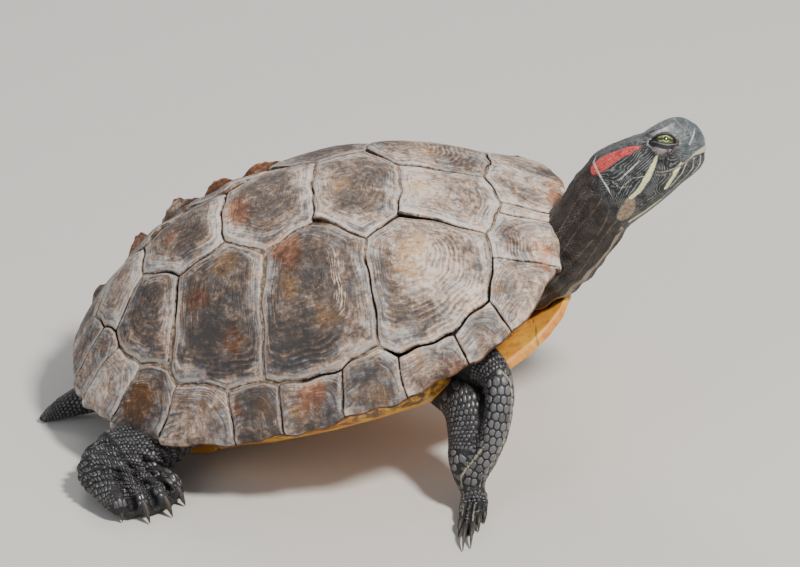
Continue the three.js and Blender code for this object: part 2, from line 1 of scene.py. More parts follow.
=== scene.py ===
from itertools import product
from math import cos, pi, radians, sin

import bmesh
import bpy
import numpy as np
from mathutils import Matrix, Vector
from mathutils.bvhtree import BVHTree


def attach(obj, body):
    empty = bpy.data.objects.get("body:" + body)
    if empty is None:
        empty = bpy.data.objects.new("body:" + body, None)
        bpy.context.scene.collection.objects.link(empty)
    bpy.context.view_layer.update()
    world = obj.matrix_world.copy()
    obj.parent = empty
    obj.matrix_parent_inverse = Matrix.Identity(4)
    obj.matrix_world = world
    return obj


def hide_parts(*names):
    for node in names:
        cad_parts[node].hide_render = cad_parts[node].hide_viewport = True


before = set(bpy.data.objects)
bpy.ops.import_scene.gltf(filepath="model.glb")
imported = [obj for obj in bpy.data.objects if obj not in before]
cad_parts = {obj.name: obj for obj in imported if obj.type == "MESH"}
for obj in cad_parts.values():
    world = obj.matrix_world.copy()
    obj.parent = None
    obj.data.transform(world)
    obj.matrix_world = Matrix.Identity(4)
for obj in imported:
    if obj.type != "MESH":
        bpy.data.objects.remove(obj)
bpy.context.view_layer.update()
mm = 0.001
print("frame loaded")

# ---- where things are: all sizes are in mm round the middle of the shell ----
pose = {"middle": (-21.479, -2.301, 57.0), "noseUp": 18.4, "rightDown": 9.0}
shellMiddle = np.array(pose["middle"])
shellLean = np.array(Matrix.Rotation(radians(-pose["noseUp"]), 3, "Y")
                     @ Matrix.Rotation(radians(pose["rightDown"]), 3, "X"))


def fromShell(points):  # the leaning shell's own mm to world metres
    return (np.asarray(points) @ shellLean.T + shellMiddle) * mm


def toShell(points):
    return (np.asarray(points) / mm - shellMiddle) @ shellLean


def fromBody(points):  # level mm round the middle of the shell to world metres
    return (np.asarray(points) + shellMiddle) * mm


def toBody(points):
    return np.asarray(points) / mm - shellMiddle


def linked(name, data):  # a new object in the scene
    made = bpy.data.objects.new(name, data)
    bpy.context.scene.collection.objects.link(made)
    return made


# ---- camera, lights and floor ----
view = {"elevation": 27.6, "turn": 2.9, "distance": 1800.0, "lens": 188.7, "right": 35.3, "up": 7.8}


def aimCamera():
    e, a = radians(view["elevation"]), radians(view["turn"])
    back = Vector((sin(a) * cos(e), -cos(a) * cos(e), sin(e)))
    right = Vector((cos(a), sin(a), 0))
    up = back.cross(right)
    place = Vector(shellMiddle) + back * view["distance"] + right * view["right"] + up * view["up"]
    data = bpy.data.cameras.new("camera")
    data.lens = view["lens"]
    data.sensor_width = 36
    data.clip_end = 20
    camera = linked("camera", data)
    camera.matrix_world = Matrix.Translation(place * mm) @ Matrix((right, up, back)).transposed().to_4x4()
    bpy.context.scene.camera = camera


aimCamera()

studio = {"world": (0.86, 0.89, 0.94), "worldPower": 0.42, "floor": (0.60, 0.58, 0.55), "floorHalf": 3.0,
          "aim": (0, 0, 0.05)}
lamps = {  # place in metres, size in metres, watts, colour
    "keyLamp": ((0.95, -0.75, 1.75), 0.30, 62, (1.0, 0.96, 0.9)),
    "fillLamp": ((-1.3, -1.5, 1.0), 1.2, 9, (0.9, 0.95, 1.0)),
    "backLamp": ((-0.5, 1.6, 1.5), 0.9, 12, (1.0, 0.98, 0.95)),
}


def placeLamps():
    for name, (place, size, power, colour) in lamps.items():
        data = bpy.data.lights.new(name, "AREA")
        data.shape = "DISK"
        data.size = size
        data.energy = power
        data.color = colour
        lamp = linked(name, data)
        lamp.location = place
        lamp.rotation_euler = (Vector(studio["aim"]) - Vector(place)).to_track_quat("-Z", "Y").to_euler()
    world = bpy.data.worlds.new("studio")
    world.use_nodes = True
    background = world.node_tree.nodes["Background"]
    background.inputs["Color"].default_value = (*studio["world"], 1)
    background.inputs["Strength"].default_value = studio["worldPower"]
    bpy.context.scene.world = world


placeLamps()


# ---- shader maths ----
class Wire:
    # one socket of a material; sums and products of wires add Math nodes
    def __init__(self, paint, socket):
        self.paint = paint
        self.socket = socket

    def maths(self, operation, *values):
        return self.paint.node("ShaderNodeMath", {"operation": operation}, dict(enumerate(values)))

    def power(self, other):
        return self.maths("POWER", self, other)

    def most(self, other):
        return self.maths("MAXIMUM", self, other)

    def sine(self):
        return self.maths("SINE", self)

    def sway(self, amount):  # a noise as a change to either side
        return (self - 0.5) * amount


def mathsMethod(operation, turned):
    return lambda wire, other: wire.maths(operation, *((other, wire) if turned else (wire, other)))


for sign, operation in (("add", "ADD"), ("sub", "SUBTRACT"), ("mul", "MULTIPLY"), ("truediv", "DIVIDE")):
    setattr(Wire, f"__{sign}__", mathsMethod(operation, False))
    setattr(Wire, f"__r{sign}__", mathsMethod(operation, True))


class Paint:
    # a material that is built from Python expressions
    def __init__(self, name):
        self.material = bpy.data.materials.new(name)
        self.material.use_nodes = True
        self.tree = self.material.node_tree
        self.tree.nodes.clear()

    def node(self, kind, settings=None, values=None, output=0):
        made = self.tree.nodes.new(kind)
        for key, value in (settings or {}).items():
            if key == "stops":
                ramp = made.color_ramp
                while len(ramp.elements) < len(value):
                    ramp.elements.new(1)
                for element, (place, colour) in zip(ramp.elements, value):
                    element.position = place
                    element.color = (*colour, 1)
            else:
                setattr(made, key, value)
        for key, value in (values or {}).items():
            if isinstance(value, Wire):
                self.tree.links.new(value.socket, made.inputs[key])
            elif isinstance(value, (tuple, list)) and len(value) == 3 and made.inputs[key].type == "RGBA":
                made.inputs[key].default_value = (*value, 1)
            else:
                made.inputs[key].default_value = value
        return Wire(self, made.outputs[output])

    def value(self, name):
        return self.node("ShaderNodeAttribute", {"attribute_name": name}, None, "Fac")

    def place(self):
        return self.node("ShaderNodeTexCoord", None, None, "Object")

    def scaled(self, vector, scale):
        return self.node("ShaderNodeMapping", None, {"Vector": vector, "Scale": scale})

    def grain(self, vector, scale, detail=3.0, rough=0.55, warp=0.0):
        return self.node("ShaderNodeTexNoise", None, {
            "Vector": vector, "Scale": scale, "Detail": detail, "Roughness": rough,
            "Distortion": warp}, "Fac")

    def cells(self, vector, scale):  # how far from the borders of pebbles
        return self.node("ShaderNodeTexVoronoi", {"feature": "DISTANCE_TO_EDGE"}, {
            "Vector": vector, "Scale": scale}, "Distance")

    def step(self, value, low, high):
        return self.node("ShaderNodeMapRange", {"interpolation_type": "SMOOTHSTEP"}, {
            "Value": value, "From Min": low, "From Max": high})

    def mix(self, factor, first, second):
        return self.node("ShaderNodeMix", {"data_type": "RGBA"}, {0: factor, 6: first, 7: second}, 2)

    def layers(self, colour, *coats):  # coats of a share and a colour, one over the other
        for share, tint in coats:
            colour = self.mix(share, colour, tint)
        return colour

    def ramp(self, factor, stops):
        return self.node("ShaderNodeValToRGB", {"stops": stops}, {"Fac": factor})

    def bump(self, height, strength, distance):
        return self.node("ShaderNodeBump", None, {
            "Height": height, "Strength": strength, "Distance": distance}, "Normal")

    def finish(self, colour, roughness, normal=None, **fixed):
        values = {"Base Color": colour, "Roughness": roughness}
        if normal:
            values["Normal"] = normal
        shader = self.node("ShaderNodeBsdfPrincipled", None, {**values, **{
            key.replace("_", " "): value for key, value in fixed.items()}})
        out = self.tree.nodes.new("ShaderNodeOutputMaterial")
        self.tree.links.new(shader.socket, out.inputs["Surface"])
        return self.material


# ---- mesh making ----
noise = {"table": 4096, "primes": (73856093, 19349663, 83492791)}


def softNoise(points, size, seed=0):  # smooth blobs about size mm across, from -1 to 1
    table = np.random.default_rng(seed).uniform(-1, 1, noise["table"])
    q = np.asarray(points) / size
    base = np.floor(q).astype(np.int64)
    t = ease(q - base, 0, 1)
    total = 0
    for corner in product((0, 1), repeat=3):
        x, y, z = ((base[..., i] + corner[i]) * noise["primes"][i] for i in range(3))
        a, b, c = (abs(1 - corner[i] - t[..., i]) for i in range(3))
        total = total + table[(x ^ y ^ z) % noise["table"]] * (a * b * c)
    return total


def ease(value, low, high):
    t = np.clip((value - low) / (high - low), 0, 1)
    return t * t * (3 - 2 * t)


def fading(x, y, cx, cy, a, b=None):  # 1 in the middle of a spot, less over its half-sizes
    return np.exp(-((x - cx) / a) ** 2 - ((y - cy) / (b or a)) ** 2)


def bell(value, width):
    return np.exp(-(value / width) ** 2)


def unit(v):
    return v / np.maximum(np.linalg.norm(v, axis=-1, keepdims=True), 1e-9)


def asMesh(bm, name="sheet"):
    mesh = bpy.data.meshes.new(name)
    bm.to_mesh(mesh)
    bm.free()
    return mesh


def asBmesh(*meshes):  # one bmesh of meshes that aren't needed after it
    bm = bmesh.new()
    for mesh in meshes:
        bm.from_mesh(mesh)
        bpy.data.meshes.remove(mesh)
    return bm


def welded(mesh):  # closed where points meet, with all faces outwards
    bm = asBmesh(mesh)
    bmesh.ops.remove_doubles(bm, verts=bm.verts, dist=2e-7)
    bmesh.ops.recalc_face_normals(bm, faces=bm.faces)
    return asMesh(bm)


def modified(mesh, kind, where=None, **settings):  # the mesh as one modifier leaves it
    holder = linked("holder", mesh)
    change = holder.modifiers.new("change", kind)
    if where is not None:
        holder.vertex_groups.new(name="where").add([int(i) for i in np.nonzero(where)[0]], 1.0, "REPLACE")
        change.vertex_group = "where"
    for key, value in settings.items():
        setattr(change, key, value)
    made = bpy.data.meshes.new_from_object(holder.evaluated_get(bpy.context.evaluated_depsgraph_get()))
    bpy.data.objects.remove(holder)
    return made


def vertexTable(mesh, field="co"):
    table = np.empty(len(mesh.vertices) * 3)
    if field == "co":
        mesh.vertices.foreach_get("co", table)
    else:
        mesh.vertex_normals.foreach_get("vector", table)
    return table.reshape(-1, 3)


def movePoints(mesh, points):
    mesh.vertices.foreach_set("co", points.ravel())
    mesh.update()


def storeMarks(mesh, marks):
    for name, table in marks.items():
        layer = mesh.attributes.new(name, "FLOAT", "POINT")
        layer.data.foreach_set("value", table.astype(float))


def storeMap(mesh, name, uvs):
    corner = np.empty(len(mesh.loops), dtype=int)
    mesh.loops.foreach_get("vertex_index", corner)
    mesh.uv_layers.new(name=name).data.foreach_set("uv", uvs[corner].ravel())


def gridSheet(points, uvs=None, values=None):
    # a flat grid whose corners are moved to points[row, column], then welded where they meet
    rows, columns = points.shape[:2]
    bm = bmesh.new()
    bmesh.ops.create_grid(bm, x_segments=columns - 1, y_segments=rows - 1, size=0.5)
    mesh = asMesh(bm)
    flat = vertexTable(mesh) + 0.5
    column, row = (np.rint(flat[:, i] * (count - 1)).astype(int) for i, count in enumerate((columns, rows)))
    movePoints(mesh, points[row, column])
    storeMarks(mesh, {name: np.broadcast_to(table, (rows, columns))[row, column]
                      for name, table in (values or {}).items()})
    if uvs is not None:
        storeMap(mesh, "surface", uvs[row, column])
    return welded(mesh)


def addPiece(mesh, name, material, nodes=()):
    mesh.name = name
    mesh.shade_smooth()
    mesh.materials.clear()
    mesh.materials.append(material)
    piece = linked(name, mesh)
    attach(piece, "root")
    if nodes:
        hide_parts(*nodes)


def curveThrough(knots, count):  # a smooth curve through rows of numbers, by their spacing in number
    knots = np.asarray(knots, dtype=float)
    padded = np.vstack([2 * knots[0] - knots[1], knots, 2 * knots[-1] - knots[-2]])
    t = np.linspace(0, len(knots) - 1, count)
    i = np.minimum(t.astype(int), len(knots) - 2)
    f = (t - i)[:, None]
    a, b, c, d = padded[i], padded[i + 1], padded[i + 2], padded[i + 3]
    return 0.5 * (2 * b + (c - a) * f + (2 * a - 5 * b + 4 * c - d) * f ** 2
                  + (3 * b - a - 3 * c + d) * f ** 3)


# ---- the shell's dome, as in the CAD ----
shell = {
    "halfLength": 110.0, "halfWidth": 85.5, "widestX": -6.5, "frontBlunt": 2.6, "rearBlunt": 2.04,
    "rise": 57.8, "frontLift": 8.0, "rearLift": 6.4, "plate": 3.0, "seam": 0.5,
    "side": 2.63, "rearSide": 1.35, "front": 2.0, "rear": 2.36,
    "crown": 0.92, "belly": -31.0,
}
seamHalf = shell["seam"] / 2 + 0.05


def fromWidest(x):  # place along the shell from its widest part, and its reach that way
    along = x - shell["widestX"]
    return along, shell["halfLength"] - np.sign(along) * shell["widestX"]


def gauge(x, y):  # 0 in the middle of the shell, 1 on its rim
    along, reach = fromWidest(x)
    n = np.where(along > 0, shell["frontBlunt"], shell["rearBlunt"])
    return ((np.abs(along) / reach) ** n + (np.abs(y) / shell["halfWidth"]) ** n) ** (1 / n)


def dome(x, y):
    along, reach = fromWidest(x)
    length2, width2 = (along / reach) ** 2, (y / shell["halfWidth"]) ** 2
    lengthwise = length2 / (length2 + width2 + 1e-9)
    rearward = 1 - ease(along, -60, 60)
    side, end = (shell[front] + (shell[rear] - shell[front]) * rearward
                 for front, rear in (("side", "rearSide"), ("front", "rear")))
    r = np.minimum(gauge(x, y), 1.05)
    lift = np.where(x > 0, shell["frontLift"], shell["rearLift"]) * (x / shell["halfLength"]) ** 2
    return shell["rise"] * (1 - r ** (side + (end - side) * lengthwise)) + lift * r * r


def onDome(x, y, height=0):
    return np.stack([x, y, dome(x, y) + height], -1)


def plan(x, y):
    return np.stack([x, y, 0 * x], -1)


def domeNormal(x, y):
    slopeX = (dome(x + 1, y) - dome(x - 1, y)) / 2
    slopeY = (dome(x, y + 1) - dome(x, y - 1)) / 2
    return unit(np.stack([-slopeX, -slopeY, np.ones_like(slopeX)], -1))


def toRim(p):
    r = gauge(p[..., 0], p[..., 1])
    return np.stack([shell["widestX"] + (p[..., 0] - shell["widestX"]) / r, p[..., 1] / r], -1)


def wander(p):  # seams and outline waver a little
    x, y = p[..., 0], p[..., 1]
    return np.stack([
        x + 0.5 * np.sin(0.19 * y + 0.11 * x + 2) + 0.3 * np.sin(0.47 * y - 0.2 * x),
        y + 0.5 * np.sin(0.17 * x - 0.12 * y + 1) + 0.3 * np.sin(0.43 * x + 0.23 * y + 3)], -1)


# the scute network of the left half: x forwards, y to the left
seams = {
    "nuchalRear": (89.5, 4), "firstCorner": (83.5, 20.5), "v12": (52, 18.5), "v2side": (38, 31.5),
    "v23": (17.6, 21.5), "v3side": (-5, 29.5), "v34": (-22.7, 17.7), "v4side": (-44.4, 22.5),
    "v45": (-63.3, 9), "c12": (35.5, 71), "c23": (-16.1, 70.4), "c34": (-56.7, 51.5), "c4v5": (-80.5, 23.8),
    "m1": (86, 35), "m2": (80.8, 54.2), "m3": (65, 67.6), "m4": (41.2, 72.7), "m5": (17, 74.4),
    "m6": (-10, 73.6), "m7": (-32.9, 67.7), "m8": (-55.1, 57.3), "m9": (-69.6, 44.4), "m10": (-80, 30.1),
    "m11": (-87, 15), "m12": (-92, 0),
}
rimPoints = [(107, 3.2), (107.4, 30.4), (88.9, 63.3), (68.1, 75.9), (40.4, 82.3), (12.7, 84.9), (-13.6, 86),
             (-35.5, 82.4), (-68.3, 69.3), (-89.1, 50.1), (-102.7, 31.5), (-108, 17.5), (-110, 0)]
vertebralSeams = ["nuchalRear firstCorner v12", "v12 v2side v23", "v23 v3side v34", "v34 v4side v45",
                  "v45 c4v5 m11 m12"]
costalSeams = ["firstCorner m1 m2 m3 m4 c12 v2side v12", "v2side c12 m5 m6 c23 v3side v23",
               "v3side c23 m7 m8 c34 v4side v34", "v4side c34 m9 m10 c4v5 v45"]
marginalSeams = ["nuchalRear firstCorner m1", "m1 m2", "m2 m3", "m3 m4", "m4 c12 m5", "m5 m6", "m6 c23 m7",
                 "m7 m8", "m8 c34 m9", "m9 m10", "m10 c4v5 m11", "m11 m12"]


def corners(words, side=1):
    return np.array([(seams[word][0], side * seams[word][1]) for word in words.split()], dtype=float)


def withMirror(half):
    return np.vstack([half, [(x, -y) for x, y in half[::-1] if y != 0]])


# what each scute's horn has come to: how dark its middle is, its margin's width in mm, how dark the margin is
tones = {
    "vertebral_1": (0.17, 4.5, 0.06), "vertebral_2": (0.54, 7.0, 0.26), "vertebral_3": (0.60, 7.5, 0.25),
    "vertebral_4": (0.56, 6.5, 0.28), "vertebral_5": (0.40, 5.0, 0.28), "costal_1": (0.38, 7.0, 0.28),
    "costal_2": (0.70, 5.0, 0.42), "costal_3": (0.73, 5.0, 0.42), "costal_4": (0.70, 5.0, 0.42),
    "nuchal": (0.18, 3.0, 0.08), "marginal_1": (0.30, 3.5, 0.12), "marginal_2": (0.30, 3.0, 0.18),
    "marginal_3": (0.34, 3.0, 0.24), "marginal_4": (0.44, 3.0, 0.30), "marginal_5": (0.58, 3.5, 0.34),
    "marginal_6": (0.72, 4.0, 0.48), "marginal_7": (0.68, 2.5, 0.45), "marginal_8": (0.46, 3.5, 0.36),
    "marginal_9": (0.64, 2.5, 0.46), "marginal_10": (0.28, 3.0, 0.20), "marginal_11": (0.44, 3.0, 0.34),
    "marginal_12": (0.50, 3.0, 0.34),
}
# patches of other colours: x and y in the shell's plan, the two half-sizes, strength
patches = {
    "dark": [(2, -6, 9, 10, 0.35), (-38, -10, 8, 9, 0.3), (-61, -23, 9, 8, 0.25), (-36, -50, 13, 6, 0.4),
        (17, -44, 6, 6, 0.3), (3, -62, 13, 7, 0.35), (40, 2, 9, 10, 0.3), (34, -12, 6, 5, 0.4),
        (77, 0, 8, 10, 0.55), (66, -13, 5, 5, 0.3), (43, -54, 7, 13, 0.55), (54, -62, 9, 6, 0.35),
        (92, -17, 5, 6, 0.5), (96, -30, 5, 7, 0.45), (100, 12, 4, 5, 0.4), (8, -68, 17, 5, 0.3),
        (-34, -64, 13, 5, 0.2), (106, 38, 5, 5, 0.5), (88, -48, 6, 6, 0.35), (76, -62, 5, 5, 0.3),
        (58, -76, 5, 5, 0.3), (27, -78, 7, 4, 0.4), (-24, -78, 12, 9, 0.22), (-80, -60, 7, 5, 0.5),
        (-103, 10, 10, 14, 0.4), (78, 30, 9, 12, 0.4), (44, 40, 6, 9, 0.4), (24, 26, 6, 6, 0.3),
        (-38, 50, 10, 7, 0.4), (58, 62, 9, 7, 0.4), (8, 80, 8, 6, 0.5), (-46, 72, 8, 6, 0.4)],
    "rust": [(-15, -4, 7, 11, 1.3), (-47, -2, 5, 6, 0.9), (-38, -36, 7, 5, 1.0), (4, -30, 8, 6, 1.3),
        (6, -37, 5, 6, 1.0), (12, -66, 6, 3, 0.5), (24, -6, 3, 5, 0.8), (104, -28, 4, 9, 1.2),
        (-26, -56, 7, 6, 0.9), (110, 14, 4, 9, 1.2), (111, 30, 5, 5, 1.0), (92, -58, 4, 3, 0.6),
        (62, -76, 10, 3, 0.7), (2, -79, 9, 6, 1.1), (-30, -76, 4, 4, 0.9), (-86, -46, 6, 4, 0.5),
        (10, 46, 9, 8, 0.9), (-20, 38, 8, 8, 1.0), (-60, 26, 8, 6, 0.7), (-22, 78, 8, 6, 0.9),
        (84, 58, 5, 6, 0.7)],
    "ochre": [(-24, -28, 8, 5, 1.0), (-24, -57, 6, 4, 0.9), (3, -47, 4, 8, 1.0), (29, 0, 5, 6, 1.1),
        (41, -10, 4, 5, 0.8), (58, 2, 6, 5, 1.2), (67, -8, 5, 5, 0.5), (55, -38, 6, 6, 1.1),
        (52, -47, 6, 4, 1.0), (60, -32, 4, 4, 0.9), (16, -60, 6, 5, 0.9), (99, -24, 4, 5, 0.6),
        (84, -47, 6, 6, 0.6), (48, -74, 8, 5, 0.8), (30, -83, 5, 4, 0.7), (-5, -82, 6, 4, 0.8),
        (-18, -78, 5, 5, 1.0), (-45, -72, 6, 5, 0.5), (62, 34, 7, 7, 0.9), (-4, 50, 6, 8, 0.8),
        (52, 50, 8, 7, 0.9), (34, 80, 8, 5, 0.8)],
    "pale": [(-23, -1, 6, 9, 0.5), (-66, -4, 5, 12, 0.4), (-22, -34, 8, 3, 0.3), (66, -44, 8, 12, 0.55)],
    "amber": [(-74, -56, 9, 7, 1.5), (-86, 52, 8, 6, 1.0)],
    "scratch": [(24, -50, 3.5, 16, 1.2)],
    "rings": [(69, -44, 7, 17, 1.3), (56, -61, 10, 4, 0.9), (8, -69, 16, 5, 1.0), (-34, -64, 14, 5, 1.0),
        (-24, -50, 4, 16, 0.6), (70, 42, 9, 20, 1.2), (8, 68, 16, 5, 1.0), (96, -26, 6, 12, 0.7),
        (84, -8, 6, 12, 0.7)],
}


def patchValues(x, y):
    return {kind: sum(strength * fading(x, y, *spot) for *spot, strength in spots)
            for kind, spots in patches.items()}


def toneOf(name, x, y, edge):  # how dark the horn is, with its margin bleached
    dark, margin, bleached = tones[name.replace("_left", "").replace("_right", "")]
    spot = plan(x, y)
    uneven = margin * (0.45 * softNoise(spot, 8, 51) + 0.25 * softNoise(spot, 3, 52))
    inner = ease(edge + uneven, margin * 0.35, margin * 1.35)
    return bleached + (dark - bleached) * inner + 0.10 * softNoise(spot, 13, 53)


# seams that have opened wider: x, y, radius, how far each side draws back
gaps = [(-6, -32, 6, 0.55), (-8, -40, 8, 0.5), (-12, -54, 8, 0.25), (-55, -46, 9, 1.1), (-50, -34, 6, 0.35),
        (41, -75, 4, 0.5), (41, -80, 4, 0.35), (-13, -80, 5, 0.3), (66, -69, 4, 0.7), (83, -57, 5, 0.35),
        (19, -24, 6, 0.75), (52, -19, 5, 0.45), (-40, 26, 8, 0.6), (-20, 24, 8, 0.5), (30, 40, 7, 0.3)]


def gapAt(points):
    x, y = points[..., 0], points[..., 1]
    return np.max([far * fading(x, y, *spot) for *spot, far in gaps], axis=0)


def drawBack(line, middle):
    return line - unit(line - middle) * gapAt(line)[:, None]


# corners of scutes that curl up: x, y, radius, lift
curls = {
    "vertebral_1": [(53, -18, 8, 2.1), (66, -20, 9, 1.2), (54, -5, 5, 0.6)],
    "vertebral_2": [(19, -22, 7, 2.3), (17.6, -12, 5, 0.9), (30, -28, 8, 0.7)],
    "costal_left_1": [(40, 33, 9, 1.6), (60, 22, 8, .8)], "costal_left_2": [(-2, 30, 8, 1.5)],
    "costal_left_3": [(-20, 24, 8, 2.6), (-40, 26, 8, 2.2)], "costal_left_4": [(-56, 14, 8, 2.4)],
    "costal_right_3": [(-54, -46, 7, .9)], "costal_right_4": [(-53, -40, 5, -.5)],
    "costal_right_2": [(-10, -64, 8, .5)], "costal_right_1": [(37, -66, 7, .5)],
    "marginal_right_4": [(42, -80, 4, .9)], "marginal_right_6": [(-12, -83, 4, .6)],
}


def liftOf(name, x, y):
    return sum((height * fading(x, y, *spot) for *spot, height in curls.get(name, [])), 0 * x)


def nearest(p, line):  # mm from each point to an open line, and the way there from the line's nearest place
    best, way = np.full(p.shape[:-1], 1e9), np.zeros_like(p)
    for a, b in zip(line[:-1], line[1:]):
        along = b - a
        t = np.clip(((p - a) @ along) / (along @ along), 0, 1)
        away = p - (a + t[..., None] * along)
        far = np.linalg.norm(away, axis=-1)
        way = np.where((far < best)[..., None], away, way)
        best = np.minimum(best, far)
    return best, way


def insetOutline(points, gap):
    ahead = unit(np.roll(points, -1, axis=0) - points)
    x, y = points[:, 0], points[:, 1]
    turn = np.sign(np.sum(x * np.roll(y, -1) - np.roll(x, -1) * y))
    inward = np.stack([-ahead[:, 1], ahead[:, 0]], -1) * turn * gap
    moved = []
    for i in range(len(points)):
        p, d = points[i - 1] + inward[i - 1], ahead[i - 1]
        q, e = points[i] + inward[i], ahead[i]
        cross = d[0] * e[1] - d[1] * e[0]
        moved.append(q if abs(cross) < 1e-6 else p + d * ((q - p)[0] * e[1] - (q - p)[1] * e[0]) / cross)
    return np.array(moved)


def spaced(points, step):  # a closed outline as points about step apart, with its corners kept
    made = []
    for a, b in zip(points, np.roll(points, -1, axis=0)):
        count = max(2, round(np.linalg.norm(b - a) / step))
        made.append(a + (b - a) * np.linspace(0, 1, count, endpoint=False)[:, None])
    return np.vstack(made)


def rounded(loop, times):
    for _ in range(times):
        loop = (np.roll(loop, 1, axis=0) + 2 * loop + np.roll(loop, -1, axis=0)) / 4
    return loop


oldLayers = (0.58, 0.7, 0.79, 0.87, 0.94)  # how far out each older layer of horn reaches


def surfaceHeight(name, x, y, edge, ring):
    # how far a scute stands over the dome: crowned inside its seam, older layers stacked towards the middle
    spot = plan(x, y)
    height = shell["crown"] * (1 - np.exp(-edge / 0.55)) + 0.45 * ease(edge, 0, 14)
    for place in oldLayers:
        uneven = place + 0.012 * softNoise(spot, 9, int(place * 100))
        height += 0.13 * (1 - ease(ring, uneven - 0.008, uneven + 0.008)) * ease(edge, 0.3, 1.5)
    relief = sum(tall * softNoise(spot, size, seed)
                 for tall, size, seed in ((0.34, 17, 3), (0.12, 5, 5), (0.05, 1.9, 7)))
    return height + relief * ease(edge, 0.2, 2) + liftOf(name, x, y)


scuteMesh = {"step": 0.75, "rows": 0.8, "rounds": 60, "firstRows": [0, 0.12, 0.3, 0.55, 0.9, 1.4, 2.0]}


def makeScute(name, outline, areola):
    areola = np.array(areola, dtype=float)
    edgeLine = insetOutline(outline, seamHalf)
    loop = drawBack(spaced(edgeLine, scuteMesh["step"]), areola)
    loop, soft, edgeLine = (np.vstack([line, line[:1]])
                            for line in (loop, rounded(loop, scuteMesh["rounds"]), edgeLine))
    reach = np.linalg.norm(loop - areola, axis=1).mean()
    depths = list(scuteMesh["firstRows"])
    while depths[-1] + scuteMesh["rows"] < reach:
        depths.append(depths[-1] + scuteMesh["rows"])
    ring = np.append(1 - np.array(depths) / reach, 0.0)[:, None]
    line = soft + (loop - soft) * ring[..., None] ** 2.2
    spots = areola + (line - areola) * ring[..., None]
    edge = np.maximum(nearest(spots, edgeLine)[0] - gapAt(spots), 0)
    edge[0] = 0
    spots = wander(spots)
    x, y = spots[..., 0], spots[..., 1]
    ring = np.broadcast_to(ring, x.shape)
    top = onDome(x, y, surfaceHeight(name, x, y, edge, ring))
    # the sides go down to the bone, and the underside follows the dome back to the middle
    out, normal = top[0], domeNormal(x[0], y[0])
    inward = unit((np.append(areola, 0) - out) * [1, 1, 0])
    lift = np.clip(liftOf(name, x[0], y[0]), 0, 3)[:, None]
    sides = [out - normal * (shell["plate"] + lift) + inward * (0.15 + 0.5 * lift),
             out - normal * (lift * 0.8 + 0.9) + inward * (0.1 + 0.9 * lift),
             out - normal * (lift * 0.5 + 0.35) + inward * 0.03]
    under = []
    for share in (0.0, 0.2, 0.5, 0.8):
        p = areola + (loop - areola) * share
        under.append(onDome(p[:, 0], p[:, 1], -shell["plate"]))
    points = np.stack([*under, *sides, *top])
    extra = len(under) + len(sides)
    uvs = np.zeros((*points.shape[:2], 2))
    uvs[..., 0] = np.append(0, np.cumsum(np.linalg.norm(np.diff(loop, axis=0), axis=1)))
    uvs[extra:, :, 1] = ring * reach
    uvs[:extra, :, 1] = reach + np.arange(extra)[::-1, None]
    values = {"ring": ring, "edge": np.minimum(edge, 15), "tone": toneOf(name, x, y, edge),
              **patchValues(x, y)}
    values = {key: np.concatenate([np.repeat(table[:1], extra, axis=0), table])
              for key, table in values.items()}
    values["under"] = (np.arange(len(points)) < extra)[:, None]
    return gridSheet(fromShell(points), uvs / 100, values)


# ---- horn of the scutes ----
horn = {
    # colours from the most bleached to the darkest
    "tones": [(0.0, (0.66, 0.53, 0.45)), (0.20, (0.46, 0.345, 0.275)), (0.40, (0.275, 0.195, 0.15)),
              (0.58, (0.150, 0.103, 0.078)), (0.76, (0.080, 0.059, 0.049)), (1.0, (0.036, 0.031, 0.030))],
    "cool": [(0.0, (0.53, 0.535, 0.53)), (0.20, (0.355, 0.358, 0.36)), (0.40, (0.205, 0.207, 0.213)),
             (0.58, (0.115, 0.117, 0.126)), (0.76, (0.062, 0.064, 0.072)), (1.0, (0.034, 0.035, 0.040))],
    "ochres": [(0.0, (0.62, 0.44, 0.27)), (0.35, (0.42, 0.25, 0.12)), (0.65, (0.20, 0.115, 0.055)),
               (1.0, (0.07, 0.042, 0.025))],
    "rusts": [(0.0, (0.55, 0.29, 0.18)), (0.35, (0.34, 0.135, 0.062)), (0.65, (0.16, 0.062, 0.032)),
              (1.0, (0.06, 0.028, 0.018))],
    "ambers": [(0.0, (0.50, 0.28, 0.10)), (0.35, (0.27, 0.125, 0.035)), (0.65, (0.11, 0.046, 0.014)),
               (1.0, (0.04, 0.02, 0.01))],
    "crack": (0.020, 0.014, 0.010), "step": (0.17, 0.10, 0.060), "bleached": (0.62, 0.54, 0.48),
    # the two belly colours are painted shade: undersides and side walls of the scutes drawn mottled dark
    # brown, as if out of the light
    "belly": (0.16, 0.075, 0.030), "undersideShadeDark": (0.05, 0.026, 0.016),
}


